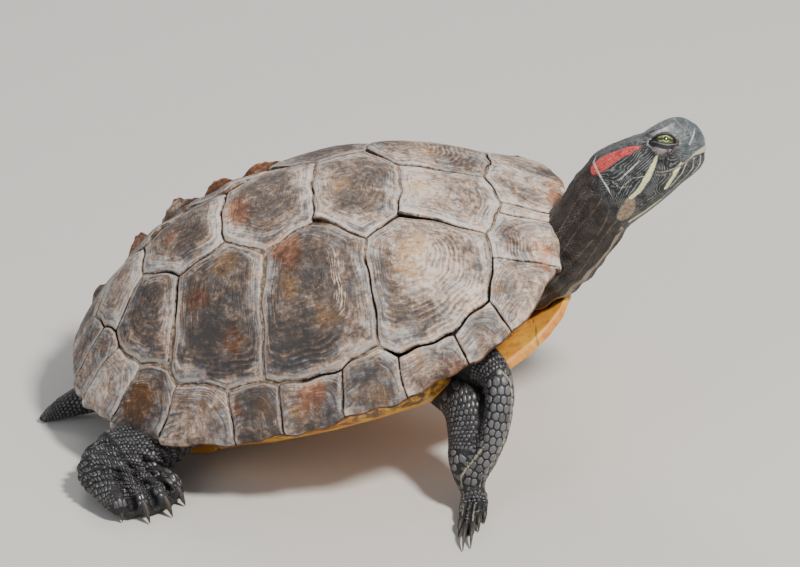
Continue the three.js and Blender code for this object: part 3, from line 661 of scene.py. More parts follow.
def paintScutes():
    p = Paint("weatheredHorn")
    place = p.place()
    surface = p.node("ShaderNodeUVMap", {"uv_map": "surface"})
    edge, ring, under, tone = (p.value(name) for name in ("edge", "ring", "under", "tone"))
    broad = p.grain(place, 75, 3, 0.55)
    blotch = p.grain(place, 210, 4, 0.62, 0.8)
    hue = p.grain(place, 140, 4, 0.65, 0.4)
    speck = p.grain(place, 560, 4, 0.68)
    dust = p.grain(place, 1500, 2, 0.6)
    # growth lines run round the scute, and hatching runs across them
    bands = p.grain(p.scaled(surface, (3.2, 58, 1)), 1.0, 3, 0.62, 0.25)
    lines = p.grain(p.scaled(surface, (9, 125, 1)), 1.0, 3, 0.62, 0.2)
    hatch = p.grain(p.scaled(surface, (90, 9, 1)), 1.0, 3, 0.62, 0.2)
    margin = 1 - p.step(edge + blotch.sway(6), 3.0, 9.0)
    dark = tone + p.value("dark") * 0.62 - p.value("pale") * 0.45
    dark = dark + blotch.sway(1.15) + speck.sway(0.95) + dust.sway(0.35) + broad.sway(0.5)
    dark = dark + bands.sway(0.55 + margin * 0.55) + lines.sway(0.75 + margin * 0.35)
    dark = dark + hatch.sway(0.35) * (1 - margin)
    dark = dark - p.value("scratch") * p.step(lines + bands.sway(0.5), 0.50, 0.62) * 0.75
    grown = p.step(p.value("rings") + blotch.sway(0.8), 0.25, 0.8)
    ripple = (ring * 125 + bands.sway(7) + lines.sway(4)).sine() * grown
    dark = dark + ripple * 0.14
    warm, cool, ochre, rust, amber = (
        p.ramp(dark, horn[name]) for name in ("tones", "cool", "ochres", "rusts", "ambers"))
    mottle = blotch.sway(1.5) + hue.sway(1.1) + speck.sway(1.0)

    def stained(kind, low, high):
        return p.step(p.value(kind) * 0.75 + mottle, low, high)

    worn = p.step(blotch + speck.sway(0.5), 0.40, 0.60)
    bleached = p.step(edge, 0.1, 0.6) * (1 - p.step(edge, 0.8, 1.7)) * p.step(blotch, 0.40, 0.56)
    crack = (1 - p.step(edge + speck.sway(0.5), 0.05, 0.5)) * (1 - under)
    colour = p.layers(
        warm,
        (p.step(hue + margin * 0.07 + bands.sway(0.4), 0.49, 0.64) * 0.9, cool),
        (stained("ochre", 0.30, 0.66) * 0.80, ochre),
        (stained("rust", 0.32, 0.66) * 0.85, rust),
        (stained("amber", 0.34, 0.60) * 0.95, amber),
        (p.step(hue * 0.5 + speck * 0.5, 0.52, 0.63) * 0.6, ochre),
        (bleached * 0.4, horn["bleached"]),
        (crack * (0.35 + worn * 0.6), p.mix(worn, horn["step"], horn["crack"])),
        # painted shade: undersides and side walls of the scutes in mottled dark brown
        (p.step(under, 0.4, 0.6), p.mix(p.step(blotch, 0.42, 0.58), horn["belly"], horn["undersideShadeDark"])))
    height = bands * 0.5 + lines * 0.5 + speck * 0.4 + blotch * 0.5 + dust * 0.12 - dark * 0.12 - ripple * 0.3
    normal = p.bump(height, 0.9, 0.0008)
    return p.finish(colour, 0.46 + blotch * 0.25, normal, IOR=1.5, Specular_IOR_Level=0.38)


scuteHorn = paintScutes()

areolae = {
    "vertebral_1": (63, 0), "vertebral_2": (30, 0), "vertebral_3": (-3, 0), "vertebral_4": (-39, 0),
    "vertebral_5": (-78, 0), "costal_1": (49, 40), "costal_2": (8, 40), "costal_3": (-24, 34),
    "costal_4": (-57, 24),
}
bothSides = (("left", 1), ("right", -1))


def addScute(name, mesh):
    addPiece(mesh, name + "_horn", scuteHorn, [name])


for i, words in enumerate(vertebralSeams):
    name = f"vertebral_{i + 1}"
    addScute(name, makeScute(name, withMirror(corners(words)), areolae[name]))
for side, turn in bothSides:
    for i, words in enumerate(costalSeams):
        name = f"costal_{side}_{i + 1}"
        x, y = areolae[f"costal_{i + 1}"]
        addScute(name, makeScute(name, corners(words, turn), (x, turn * y)))
print("vertebral and costal scutes made")

# ---- marginal scutes ----
rim = {"bridgeFront": 50.0, "bridgeRear": -48.0, "fade": 14.0, "depth": 8.5, "step": 0.75}
lip = [(0.965, 0.62, 0), (0.99, 0.1, 0), (1.0, -0.7, 0.1), (1.002, -1.6, 0.45), (0.995, -2.5, 0.75),
       (0.975, -3.3, 1)]  # share of the width, height over the dome, how much it counts as underside
juts = {  # how far each one's front and rear corner stand out
    "left": [(0, 6), (6, 8), (8, 4), (4, 0), (0, 0), (0, 0), (0, 0), (0, 1), (0, 2), (0, 2), (0, 2), (0, 1)],
    "right": [(0, 2), (0, 0), (0, 0), (0, 0), (0, 0), (0, 0), (0, 0), (0, 1), (0, 2), (0, 2), (0, 2), (0, 1)],
}


def bridging(x):
    rear, front, fade = rim["bridgeRear"], rim["bridgeFront"], rim["fade"]
    return ease(x, rear - fade, rear) * (1 - ease(x, front, front + fade))


def chain(points, t):  # points at shares t of a polyline, by the number of its stretches
    points = np.asarray(points, dtype=float)
    place = np.arange(len(points)) / (len(points) - 1)
    return np.stack([np.interp(t, place, points[:, 0]), np.interp(t, place, points[:, 1])], -1)


def makeMarginal(name, inner, rimStart, rimEnd, jut):
    length = np.linalg.norm(np.subtract(rimStart, rimEnd))
    t = np.linspace(0, 1, max(16, round(length / rim["step"])) + 1)
    t = seamHalf / length + t * (1 - 2 * seamHalf / length)
    within = chain(inner, t)
    outer = toRim(chain([rimStart, rimEnd], t))
    push = unit(outer - within)
    outer = outer + push * (jut[0] + (jut[1] - jut[0]) * t)[:, None]
    within = within + push * seamHalf
    width = np.linalg.norm(outer - within, axis=1)
    rows = []

    def at(share):
        return wander(within + (outer - within) * share)

    def over(share, height):
        p = at(share)
        return onDome(p[:, 0], p[:, 1], height)

    def add(row, edge, ring, under):
        rows.append((row, edge + 0 * t, ring + 0 * t, under + 0 * t))

    seamSide = np.minimum(t, 1 - t) * length - seamHalf * 0.9
    wear = np.stack([t * length, 0 * t, 0 * t + len(name) * 7.0 + jut[1]], -1)
    chip = 0.35 * softNoise(wear, 3.1, 11) + 0.2 * softNoise(wear, 1.2, 12)
    for share in (0, 0.01, 0.025, 0.05, 0.09, *np.linspace(0.13, 0.93, 22)):
        row = over(share, 0)
        edge = np.minimum(seamSide, share * width + 0.02)
        ring = ((1 - share) ** 3 + np.abs(t - 0.72) ** 3 * 1.6) ** (1 / 3)
        row[:, 2] += surfaceHeight(name, row[:, 0], row[:, 1], np.maximum(edge, 0), np.clip(ring, 0, 1))
        add(row, edge, ring, 0)
    for share, height, under in lip:
        row = over(share, height)
        row[:, :2] += push * chip[:, None] * 0.5
        add(row, np.minimum(seamSide, 8), 0.12, under)
    # the underside is thin where it is free, and reaches down to the plastron at the bridge
    rimZ = over(1, 0)[:, 2]
    bridge = bridging(outer[:, 0])[:, None]
    under, innerRow = over(0.5, -4.6), over(0, -6)
    under += (np.column_stack([at(0.5), rimZ - rim["depth"] * 0.7]) - under) * bridge
    innerRow += (np.column_stack([at(-0.05), rimZ - rim["depth"]]) - innerRow) * bridge
    first, last = rows[0][0], rows[-1][0]
    for start, end, shares in ((last, under, (0.25, 0.5, 0.75, 1.0)), (under, innerRow, (0.33, 0.66, 1.0)),
                               (innerRow, first, (0.3, 0.6, 0.85, 1.0))):
        for share in shares:
            add(start + (end - start) * share, np.minimum(seamSide, 8), 0.3, 1)
    points, edge, ring, under = (np.stack(table) for table in zip(*rows))
    under[-1], edge[-1] = 0, edge[0]
    # each end closes in its middle
    centre = points[:-1].mean(axis=0)
    ends = [(np.repeat(centre[None, end], len(points), axis=0), points[:, end] * 0.4 + centre[end] * 0.6)
            for end in (0, -1)]
    points = np.stack([*ends[0], *points.transpose(1, 0, 2), *ends[1][::-1]], axis=1)

    def wide(table, value):
        return np.pad(table, ((0, 0), (2, 2)), constant_values=value)

    uvs = np.zeros((*points.shape[:2], 2))
    uvs[..., 0] = np.concatenate([[0, 0], t, [1, 1]]) * length / 100
    uvs[..., 1] = wide(ring, 1.0) * 0.22
    x, y, edge = points[..., 0], points[..., 1], wide(np.clip(edge, 0, 15), 0.0)
    return gridSheet(fromShell(points), uvs, {
        "edge": edge, "ring": wide(ring, 1.0), "under": wide(under, 1.0), **patchValues(x, y),
        "tone": toneOf(name, x, y, edge)})


(x, y), innerEdge = rimPoints[0], withMirror(corners("nuchalRear"))
addScute("nuchal", makeMarginal("nuchal", innerEdge, (x, y), (x, -y), (0, 0)))
for side, turn in bothSides:
    for i, words in enumerate(marginalSeams):
        name = f"marginal_{side}_{i + 1}"
        start, end = [(x, turn * y) for x, y in rimPoints[i:i + 2]]
        addScute(name, makeMarginal(name, corners(words, turn), start, end, juts[side][i]))
print("marginal scutes made")

# old layers of horn that peel off along the left costals: x, y, length, height, lean, tone, rust
flakes = [(-50, 42, 26, 8.2, 2.5, 0.62, 0.5), (-31, 40, 20, 7.0, 1.5, 0.62, 1.8),
          (-11, 43, 28, 5.2, 1.2, 0.58, 1.2),
          (-76, 42, 16, 7.2, 1.5, 0.60, 0.7), (-96, 27, 12, 4.0, 1.5, 0.70, 0.2)]


def makeFlakes():
    sheets = []
    u, rise = np.linspace(0, 1, 49)[:, None], np.linspace(0, 1, 9)
    v = np.concatenate([rise, rise[::-1], rise[:1]])[None]  # up its face, down its back
    back = np.concatenate([0 * rise, 1 + 0 * rise, [0]])[None]
    for n, (cx, cy, length, height, lean, tone, rust) in enumerate(flakes):
        x = cx + (u - 0.5) * length + 0 * v
        spot = np.stack([x, 0 * x + 9 * n, 3 * v + 0 * x], -1)
        end = np.sin(pi * u ** (0.8 + 0.3 * (n % 2))) ** 0.6
        reach = end * v * (1 + 0.20 * softNoise(spot, 6.5, 91) + 0.08 * softNoise(spot, 1.6, 93))
        y = cy + lean * reach ** 1.6 + 0.5 * softNoise(spot, 5, 92) + back * 0.45 * (1.15 - v) * end
        z = dome(x, cy + 0 * x) - 0.6 + (height + 0.6) * reach
        sheets.append(gridSheet(fromShell(np.stack([x, y, z], -1)), np.stack([x / 100, reach * 0.1], -1), {
            "tone": tone, "rust": rust, "edge": 2 + 6 * v, "ring": v}))
    return asMesh(asBmesh(*sheets))


addPiece(makeFlakes(), "horn_flakes", scuteHorn)
print("flakes made")

# ---- bone under the seams ----
closedSeams = [  # x, y and radius of seams grown shut
    (88, 0, 16), (84, -30, 12), (100, -20, 14), (84, 28, 12), (-22, -24, 9), (-60, -8, 14), (24, -34, 5),
    (62, -68, 9), (30, -74, 10), (-6, -72, 8), (-76, -36, 10)]


bone = {"halfLength": 101, "halfWidth": 78, "top": -0.05, "opened": 1.6, "under": -4.0}


def makeBone():
    angle, share = np.linspace(0, 2 * pi, 241), np.linspace(0, 1, 80)[:, None]
    x = shell["widestX"] + share * bone["halfLength"] * np.cos(angle)
    y = share * bone["halfWidth"] * np.sin(angle)
    spot = plan(x, y)
    opened = ease(softNoise(spot, 24, 61) + 0.5 * softNoise(spot, 9, 62), -0.35, 0.35)
    for shut in closedSeams:
        opened = opened * (1 - fading(x, y, *shut))
    top, under = onDome(x, y, bone["top"] - bone["opened"] * opened), onDome(x, y, bone["under"])
    points = np.concatenate([top, under[::-1]])
    return gridSheet(fromShell(points), None, {"open": np.concatenate([opened, opened[::-1]])})


def paintBone():
    p = Paint("seamBone")
    grain = p.grain(p.place(), 420, 4)
    shut = p.mix(p.step(grain, 0.4, 0.6), (0.13, 0.085, 0.055), (0.34, 0.25, 0.18))
    colour = p.mix(p.step(p.value("open") + grain.sway(0.8), 0.15, 0.55), shut, (0.014, 0.010, 0.008))
    return p.finish(colour, 0.85, p.bump(grain, 0.5, 0.0005))


addPiece(makeBone(), "bone_under_scutes", paintBone())

# ---- flesh: every limb is a tube through stations of x, y, z, half-width, half-thickness ----
neckStations = [
    (60, 0, 4, 19, 15), (78, -1, 11, 17.6, 15.6), (93, -1, 18.5, 17.2, 16.0), (104, -1.5, 27, 16.5, 16),
    (111.5, -1.5, 36.5, 15.6, 15.2), (117.5, -1, 46, 15.2, 15.2), (122, -0.5, 54, 15, 15.6),
    (125, 0, 60, 14, 14)]
tailStations = [(-70, 0, -35, 11, 9), (-86, -1, -42.5, 9.5, 8), (-100, -3, -48, 7.5, 6.5),
                (-112, -7, -52, 4.6, 4.2), (-120, -11, -55, 1.6, 1.6)]
limbs = {
    "front_right": {
        "up": (1, 0, 0),
        "legs": [
            [(50, -34, -2, 11, 10), (68, -48, 1, 10, 9), (78.5, -58, -3, 8.5, 6.4), (80, -65, -12, 7.6, 5.8),
             (78, -69, -23, 7.2, 5.8), (73.5, -71.5, -34, 6.8, 5.8), (68.5, -73, -45, 6.2, 5.0)],
            [(54, -39, -14, 10.5, 10.5), (65.6, -54, -17.5, 10.8, 10.4), (67.6, -63.4, -28.5, 9.6, 8.8),
             (67.4, -69, -37.2, 8.8, 8.2), (68, -73, -46, 6.2, 5.2)]],
        "palm": [(68.8, -71, -43, 5.4, 6.0), (69.8, -75.5, -47.2, 5.0, 5.0), (70.2, -79, -50.3, 5.2, 3.8),
                 (70.4, -81, -52, 5.6, 2.8)],
        "heading": -91, "spread": 4, "reach": 19.5, "lengths": (0.66, 1, 0.92, 0.50, 0.28), "r": 1.75,
        "claw": 12.5, "knuckle": 5.2, "tip": 1.25},
    "front_left": {
        "up": (1, 0, 0),
        "legs": [[(50, 36, 4, 12, 11), (66, 50, 4, 12, 11), (76, 62, -4, 11, 9.5), (78, 68, -18, 10.5, 9),
                  (75, 71, -32, 9.5, 8.4), (73, 73, -45, 7.6, 7)]],
        "palm": [(73, 71, -43, 8, 6.8), (73.5, 77, -47.5, 8.6, 5.8), (75, 85, -52.8, 8.6, 4.6),
                 (76, 91, -54.8, 9, 3)],
        "heading": 78, "spread": 20, "reach": 15, "lengths": (0.6, 0.9, 1, 0.9, 0.6), "r": 2.4, "claw": 12,
        "knuckle": 4.8, "tip": 1.8},
    "hind_right": {
        "up": (0, 0, 1),
        "legs": [[(-46, -34, -27, 15, 12), (-58, -46, -35, 15, 12), (-70, -56, -41, 15, 12.5),
                  (-80, -62, -45, 14.5, 12.5)]],
        "palm": [(-85, -60, -47, 12, 10), (-82, -66, -46.5, 16, 11), (-76, -73, -48, 17.5, 9.4),
                 (-71, -78, -50.8, 17.5, 6.2), (-69, -80.4, -53.2, 16, 3.4)],
        "heading": -50, "spread": 14, "reach": 11.8, "lengths": (0.5, 0.92, 1, 0.76), "r": 4.5, "claw": 6.6,
        "knuckle": 8.7, "tip": 4.8, "slant": 0.45},
    "hind_left": {
        "up": (0, 0, 1),
        "legs": [[(-46, 36, -14, 15, 12), (-58, 48, -20, 15, 12), (-70, 57, -29, 15, 13),
                  (-79, 63, -38, 14.5, 13)]],
        "palm": [(-83, 61, -43, 12, 12), (-80, 68, -44.5, 16, 12), (-76, 75, -47, 17, 10),
                 (-72, 81, -50.8, 17, 6.2), (-70.2, 84.4, -53.2, 16, 3.4)],
        "heading": 58, "spread": 16, "reach": 12.6, "lengths": (0.8, 1, 0.95, 0.64), "r": 4.4, "claw": 6.6,
        "knuckle": 8.5, "tip": 4.6, "slant": -0.45},
}
head = {"base": (122.9, 0.0, 57.3), "noseUp": 28.0, "rightUp": 14.0, "eye": (31.6, 7.2, 9.2),
        "eyeRadius": 4.8, "gaze": (0.50, 0.79, 0.36)}
headStations = [  # x, half-width, top, bottom, how boxy
    (-8, 11, 10, -16, 2), (0, 14, 15.4, -18, 2.1), (8, 15, 16.4, -16.8, 2.2), (16, 14.6, 16, -15, 2.3),
    (24, 13, 15.6, -12.8, 2.4), (30, 11.6, 15.9, -10.8, 2.4), (35.5, 9.8, 16.4, -9.6, 2.4),
    (40.5, 8, 15.4, -7.8, 2.3), (44, 6.2, 12.2, -4.4, 2.2), (46.2, 3.4, 8.2, 0.4, 2)]
headTurn = np.array(Matrix.Rotation(radians(-head["noseUp"]), 3, "Y")
                    @ Matrix.Rotation(radians(-head["rightUp"]), 3, "X"))
headBase = np.array(head["base"])


def fromHead(points):
    return fromBody(np.asarray(points) @ headTurn.T + headBase)


def toHead(points):
    return (toBody(points) - headBase) @ headTurn


def tubeFrame(stations, step, up):  # middles, sizes, and ahead, sideways and over directions along a tube
    knots = np.array(stations, dtype=float)
    length = np.linalg.norm(np.diff(knots[:, :3], axis=0), axis=1).sum()
    path = curveThrough(knots, max(4, round(length / step)))
    ahead = unit(np.gradient(path[:, :3], axis=0))
    side = unit(np.cross(np.array(up, dtype=float), ahead))
    return path[:, :3], path[:, 3:], ahead, side, np.cross(ahead, side)


def tube(stations, step=1.0, sides=36, up=(0, 0, 1)):
    middle, size, ahead, side, over = tubeFrame(stations, step, up)
    angle = np.linspace(0, 2 * pi, sides + 1)[:, None, None]
    rings = middle + side * np.cos(angle) * size[:, :1] + over * np.sin(angle) * size[:, 1:]
    rings = rings.transpose(1, 0, 2)

    def cap(k, way):
        made = []
        for a in (30, 60, 90):
            shift = ahead[k] * way * size[k].min() * sin(radians(a)) * 0.8
            made.append(middle[k] + (rings[k] - middle[k]) * max(cos(radians(a)), 0) + shift)
        return made[::way]

    return gridSheet(fromBody(np.concatenate([np.array(cap(0, -1)), rings, np.array(cap(-1, 1))])))


toeShape = {"rootSpread": 0.76, "inPalm": 10, "back": 3, "clawHeight": 0.75}


def toes(foot):  # root, knuckle, tip and claw point of each toe
    endX, endY, _, width, _ = foot["palm"][-1]
    ahead, reach, knuckle = radians(foot["heading"]), foot["reach"], foot["knuckle"]
    made = []
    for length, share in zip(foot["lengths"], np.linspace(-1, 1, len(foot["lengths"]))):
        angle = ahead + share * radians(foot["spread"])
        off = share * width * toeShape["rootSpread"]
        made.append([
            np.array([endX + cos(angle) * far - sin(ahead) * off, endY + sin(angle) * far + cos(ahead) * off,
                      height - shellMiddle[2]])
            for far, height in (
                (-toeShape["inPalm"], knuckle * 0.95), (reach * length * 0.45 - toeShape["back"], knuckle),
                (reach * length - toeShape["back"], foot["tip"]),
                ((reach + foot["claw"]) * length - toeShape["back"], toeShape["clawHeight"]))])
    return made


def headLoft():
    angle = np.linspace(0, 2 * pi, 97)
    c, s = np.cos(angle), np.sin(angle)
    rings = []
    for x, halfWidth, top, bottom, boxy in curveThrough(headStations, 70):
        r = (np.abs(c) ** boxy + np.abs(s) ** boxy) ** (-1 / boxy)
        height = (top + bottom) / 2 + (top - bottom) / 2 * s * r
        rings.append(np.stack([x + 0 * c, halfWidth * c * r, height], -1))
    first, last = rings[0], rings[-1]
    middle = last.mean(axis=0)
    front = [middle + (last - middle) * s + [d, 0, 0] for s, d in ((0.8, 0.35), (0.5, 0.6), (0, 0.7))]
    return gridSheet(fromHead(np.stack([np.broadcast_to(first.mean(axis=0), first.shape), *rings, *front])))


def pointed(rows):  # rows of points, with the two ends drawn together in their middles
    first, last = (np.broadcast_to(row.mean(axis=0), row.shape) for row in (rows[0], rows[-1]))
    return np.stack([first, *rows, last])


trunk = {  # outline, how far it stays over the belly and under the dome, and x with the share of its width
    "frontReach": 116.5, "rearReach": 103.5, "blunt": 2.3, "width": 0.86, "floor": 6.0, "roof": 8.5,
    "stations": [(-88, .5), (-80, .8), (-66, .98), (-42, .92), (-10, .9), (20, .9), (46, .92), (64, .98),
                 (78, .84), (87, .5)],
}


def trunkLoft():
    angle = np.linspace(0, 2 * pi, 81)
    rows = []
    for x, shrink in curveThrough(trunk["stations"], 90):
        ratio = (x - shell["widestX"]) / trunk["frontReach" if x > 0 else "rearReach"]
        rounding = (1 - min(abs(ratio), 0.99) ** trunk["blunt"]) ** (1 / trunk["blunt"])
        width = shell["halfWidth"] * rounding * trunk["width"] * shrink
        base = shell["belly"] + trunk["floor"] + 6 * (x / 100) ** 4
        y = width * np.sign(np.cos(angle)) * np.abs(np.cos(angle)) ** 0.75
        roof = dome(x + 0 * y, y) - trunk["roof"] - 10 * (1 - shrink)
        rows.append(np.stack([x + 0 * y, y, base + (roof - base) * (np.sin(angle) * 0.5 + 0.5) ** 0.8], -1))
    return gridSheet(fromShell(pointed(rows)))


skinSizes = {
    "voxel": 0.95, "smooth": 5, "headSmooth": 3, "hiddenGauge": 0.74, "hiddenHeight": -30, "thinned": 0.9,
    "head": (-5, 60), "eyes": (21, 43), "eyeReach": 8.2, "toeReach": 21, "toeHeight": 14,
}


def fleshSheets():
    sheets = [trunkLoft(), headLoft(), tube(neckStations, 1.2, 56, (-1, 0, 1)), tube(tailStations, 1.0, 36)]
    for limb in limbs.values():
        sheets += [tube(stations, 1.2, 44, limb["up"]) for stations in limb["legs"]]
        sheets.append(tube(limb["palm"], 1.0, 44))
        r, fan = limb["r"], toes(limb)
        bones = [[(*root, r * 1.15, r), (*knuckle, r * 1.1, r * 1.02), (*tip, r * 0.84, r * 0.80)]
                 for root, knuckle, tip, _ in fan]
        if "slant" in limb:  # webs between the hind toes
            bones += [[(*((a + b) / 2 - [0, 0, r * drop]), r * 0.8, r * 0.7)
                       for a, b, drop in zip(first, second, (0.2, 0.45, 0.3))]
                      for first, second in zip(fan[:-1], fan[1:])]
        sheets += [tube(bone, 0.8, 20) for bone in bones]
    return sheets


def fuseFlesh():  # one closed skin round all the overlapping parts, with fewer faces where the shell hides it
    loose = asMesh(asBmesh(*fleshSheets()))
    fused = modified(loose, "REMESH", mode="VOXEL", voxel_size=skinSizes["voxel"] * mm)
    q = toShell(vertexTable(fused))
    hidden = (gauge(q[:, 0], q[:, 1]) < skinSizes["hiddenGauge"]) & (q[:, 2] > skinSizes["hiddenHeight"])
    return modified(fused, "DECIMATE", hidden, ratio=1 - skinSizes["thinned"] * hidden.mean())


def smoothMesh(bm, verts, times):
    for _ in range(times):
        bmesh.ops.smooth_vert(bm, verts=verts, factor=0.5, use_axis_x=True, use_axis_y=True, use_axis_z=True)


stripeLimits = {"far": 99.0, "deep": 7.0}  # mm where there is no stripe, mm a stripe goes into the skin


def lineDistance(points, normals, line, widths):
    # mm from the border of a stripe that runs over the surface: below zero inside it
    best = np.full(len(points), stripeLimits["far"])
    line = np.asarray(line, dtype=float)
    widths = np.broadcast_to(widths, len(line))
    for a, b, wideA, wideB in zip(line[:-1], line[1:], widths[:-1], widths[1:]):
        along = b - a
        t = np.clip((points - a) @ along / (along @ along), 0, 1)
        away = points - (a + t[:, None] * along)
        depth = np.sum(away * normals, axis=1, keepdims=True)
        d = np.linalg.norm(away - normals * depth, axis=1) - (wideA + (wideB - wideA) * t)
        best = np.where(np.abs(depth[:, 0]) > stripeLimits["deep"], best, np.minimum(best, d))
    return best


# ---- head: lids, mouth, nostrils ----
mouthLine = np.array([(24.6, -0.6), (26.5, -1.9), (29.5, -2.6), (33, -2.8), (37.5, -2.3), (41, -1.7),
                      (43.6, -2.4), (48, -3.8)])
mouthFolds = [  # mm over the mouth's line, width, height, and where along the head it grows
    (-0.1, 0.42, -0.95, (0, 1)), (1.0, 0.8, 0.30, (27, 33)), (-1.5, 1.2, -0.45, (30, 40)),
    (4.2, 0.5, -0.25, (31, 36))]
headForms = [  # middle, half-sizes, height: the brow, a step behind it and a hollow in front of it
    ((31, 7.0, 15.0), (6.5, 3.6, 3.4), 0.9), ((23.5, 6.5, 15.0), (2.6, 5, 3), -0.7),
    ((40.0, 8.0, 8.0), (3.2, 3, 4), -0.6)]
lids = {"halfLength": 4.5, "upper": 1.6, "lower": 1.85, "behind": -2.5}
lidForm = [  # mm outside the lids' opening, height over the eyeball
    (-3, -1.4), (-0.35, -1.2), (-0.05, 0.2), (0.25, 0.55), (0.8, 0.45), (1.4, 0.20), (1.9, -0.10),
    (2.9, 0.38), (3.8, 0.25), (4.8, 0.1)]
gaze = unit(np.array(head["gaze"]))
slit = np.array([0.906, 0.0, -0.423])
slit = unit(slit - gaze * (slit @ gaze))
lidUp = np.cross(gaze, slit)
lidUp = lidUp if lidUp[2] > 0 else -lidUp


def mirrored(points, normals):  # places and directions in the head, its right side turned over to the left
    q = toHead(points)
    flip = np.where(q[:, 1:2] < 0, [1, -1, 1], [1, 1, 1])
    return q * flip, normals @ headTurn * flip, flip


def eyeSpace(q):
    # along the slit, up and out from the eye's middle, distance from it, and mm outside the lids' opening
    away = q - head["eye"]
    radius = np.linalg.norm(away, axis=1)
    scale = head["eyeRadius"] / np.maximum(radius, 0.1)
    u, w, out = away @ slit, away @ lidUp, away @ gaze
    along, half = lids["halfLength"], np.where(w > 0, lids["upper"], lids["lower"])
    angle = np.arctan2(w * scale / half, u * scale / along)
    taper = 1 - 0.10 * np.abs(np.sin(2 * angle)) ** 1.5
    opening = np.hypot(np.cos(angle) * along, np.sin(angle) * half) * taper
    return u, w, out, radius, np.hypot(u * scale, w * scale) - opening


def nearEye(q, radius):  # 1 round the eye, 0 towards the crown
    return (radius < 11) * ease(q[:, 1], 1.0, 3.5) * (1 - ease(q[:, 2], 14.4, 16.0))


def shapeHead(points, normals):
    q, n, flip = mirrored(points, normals)
    move = sum(height * np.exp(-np.sum(((q - middle) / sizes) ** 2, axis=1))
               for middle, sizes, height in headForms)
    drum = np.hypot(q[:, 0] - 9, q[:, 2] - 3.0)
    move += (q[:, 1] > 6) * (-0.35 * bell(drum - 4.6, 0.8) + 0.25 * bell(drum, 3.2))
    # mouth: a crease with the horny edge of the upper beak over it
    d, away = nearest(q[:, [0, 2]], mouthLine)
    signed = np.where(away[:, 1] >= 0, d, -d)
    outside = (q[:, 0] > 23) & (np.abs(n[:, 2]) < 0.9)
    for over, width, height, grown in mouthFolds:
        move += outside * height * bell(signed - over, width) * ease(q[:, 0], *grown)
    nostril = np.linalg.norm((q - [46.4, 1.6, 8.8]) * [1, 1, 1.1], axis=1)
    move += 0.18 * bell(nostril - 1.15, 0.4) - 1.1 * np.exp(-(nostril / 0.75) ** 4)
    # fine furrows of the skin behind the beak
    move += 0.10 * softNoise(q * [1.0, 0.6, 0.6], 1.3, 21) * (1 - ease(q[:, 0], 22, 34))
    move += 0.05 * softNoise(q, 0.8, 22)
    inHead = toHead(points)[:, :1] > -4
    q = q + n * move[:, None] * inHead
    # lids wrap the eyeball, and the upper one is thicker
    _, w, out, radius, s = eyeSpace(q)
    s = np.where(out > lids["behind"], s, 9.0)
    heavy = ease(w, -0.5, 1.5)
    wanted = head["eyeRadius"] + np.interp(s, *zip(*lidForm)) + 0.35 * heavy * bell(s - 0.5, 0.6)
    wanted += 0.10 * np.cos(s * 8) * ease(s, 0.3, 0.8) * (1 - ease(s, 1.6, 2.2))
    blend = (1 - ease(s, 2.9 - 0.7 * heavy, 5.0 - 1.2 * heavy)) * nearEye(q, radius)
    q = q + unit(q - head["eye"]) * (blend * (wanted - radius))[:, None]
    return np.where(inHead, fromHead(q * flip), points)


def carveToes(points, normals):  # a groove between each toe and the next
    body = toBody(points)
    move = np.zeros(len(body))
    for limb in limbs.values():
        fan, r = toes(limb), limb["r"]
        near = np.linalg.norm(body[:, :2] - limb["palm"][-1][:2], axis=1) < 34
        near &= body[:, 2] < limb["knuckle"] + r * 2.2 - shellMiddle[2]
        for first, second in zip(fan[:-1], fan[1:]):
            line = np.array([(a + b)[:2] / 2 for a, b in zip(first[:3], second[:3])])
            line[0] = line[0] * 0.7 + line[1] * 0.3
            line = np.vstack([line, line[2] + (line[2] - line[1]) * 0.4])
            move[near] -= 0.62 * r * bell(nearest(body[near, :2], line)[0], 0.32 * r)
    up = np.clip(normals[:, 2] + 0.5, 0, 1)
    return points + normals * (move * up * mm)[:, None]


def neckSpace(points):  # share along the neck, and angle round it from its underside
    middle, _, ahead, side, over = tubeFrame(neckStations, 1.0, (-1, 0, 1))
    body = toBody(points)
    share, angle, far = np.zeros(len(body)), np.zeros(len(body)), np.full(len(body), 1e9)
    for k in range(len(middle)):
        away = body - middle[k]
        d = np.abs(away @ ahead[k]) + 0.15 * np.linalg.norm(away, axis=1)
        near = d < far
        share[near], far[near] = k, d[near]
        angle[near] = np.arctan2(away[near] @ side[k], -(away[near] @ over[k]))
    return share, angle


hindFolds = {"hind_right": (0.25, -0.75, -0.55), "hind_left": (0.25, 0.75, -0.55)}  # the way across them
foldGap = 3.9


def furrows(points, normals):
    # loose skin: long wrinkles on the neck, folds at the roots of neck and legs
    body, q = toBody(points), toHead(points)
    share, angle = neckSpace(points)
    onNeck = (1 - ease(q[:, 0], -6, 2)) * ease(body[:, 0], 70, 92)
    onNeck *= (np.abs(body[:, 1] + 1) < 24) * (body[:, 2] > 0)
    neckPlace = np.stack([share * 0.22, np.cos(angle) * 9, np.sin(angle) * 9], -1)
    move = onNeck * (0.55 * softNoise(neckPlace, 2.2, 31) + 0.3 * softNoise(neckPlace * 2.3, 2.2, 32))
    rings = np.sin(share * 0.85 + 2.0 * softNoise(body, 14, 33))
    move += onNeck * 0.5 * rings * (1 - ease(share, 34, 56)) * ease(share, 14, 24)
    move += (1 - onNeck) * (body[:, 2] < 8) * 0.25 * softNoise(body * [1, 1, 2.2], 3.2, 34)
    for end, way in hindFolds.items():  # folds across the hind feet
        away = body - limbs[end]["palm"][1][:3]
        along = away @ unit(np.array(way)) - 0.012 * (away[:, 0] + 4) ** 2
        near = (np.linalg.norm(away, axis=1) < 30) * ease(along, -18, -12) * (1 - ease(along, 9, 13))
        ridge = np.sin(along * 2 * pi / foldGap + 1.6 * softNoise(body, 6, 35))
        move += near * ease(body[:, 2], -53, -49) * 0.85 * ridge
    return points + normals * (move * mm)[:, None]


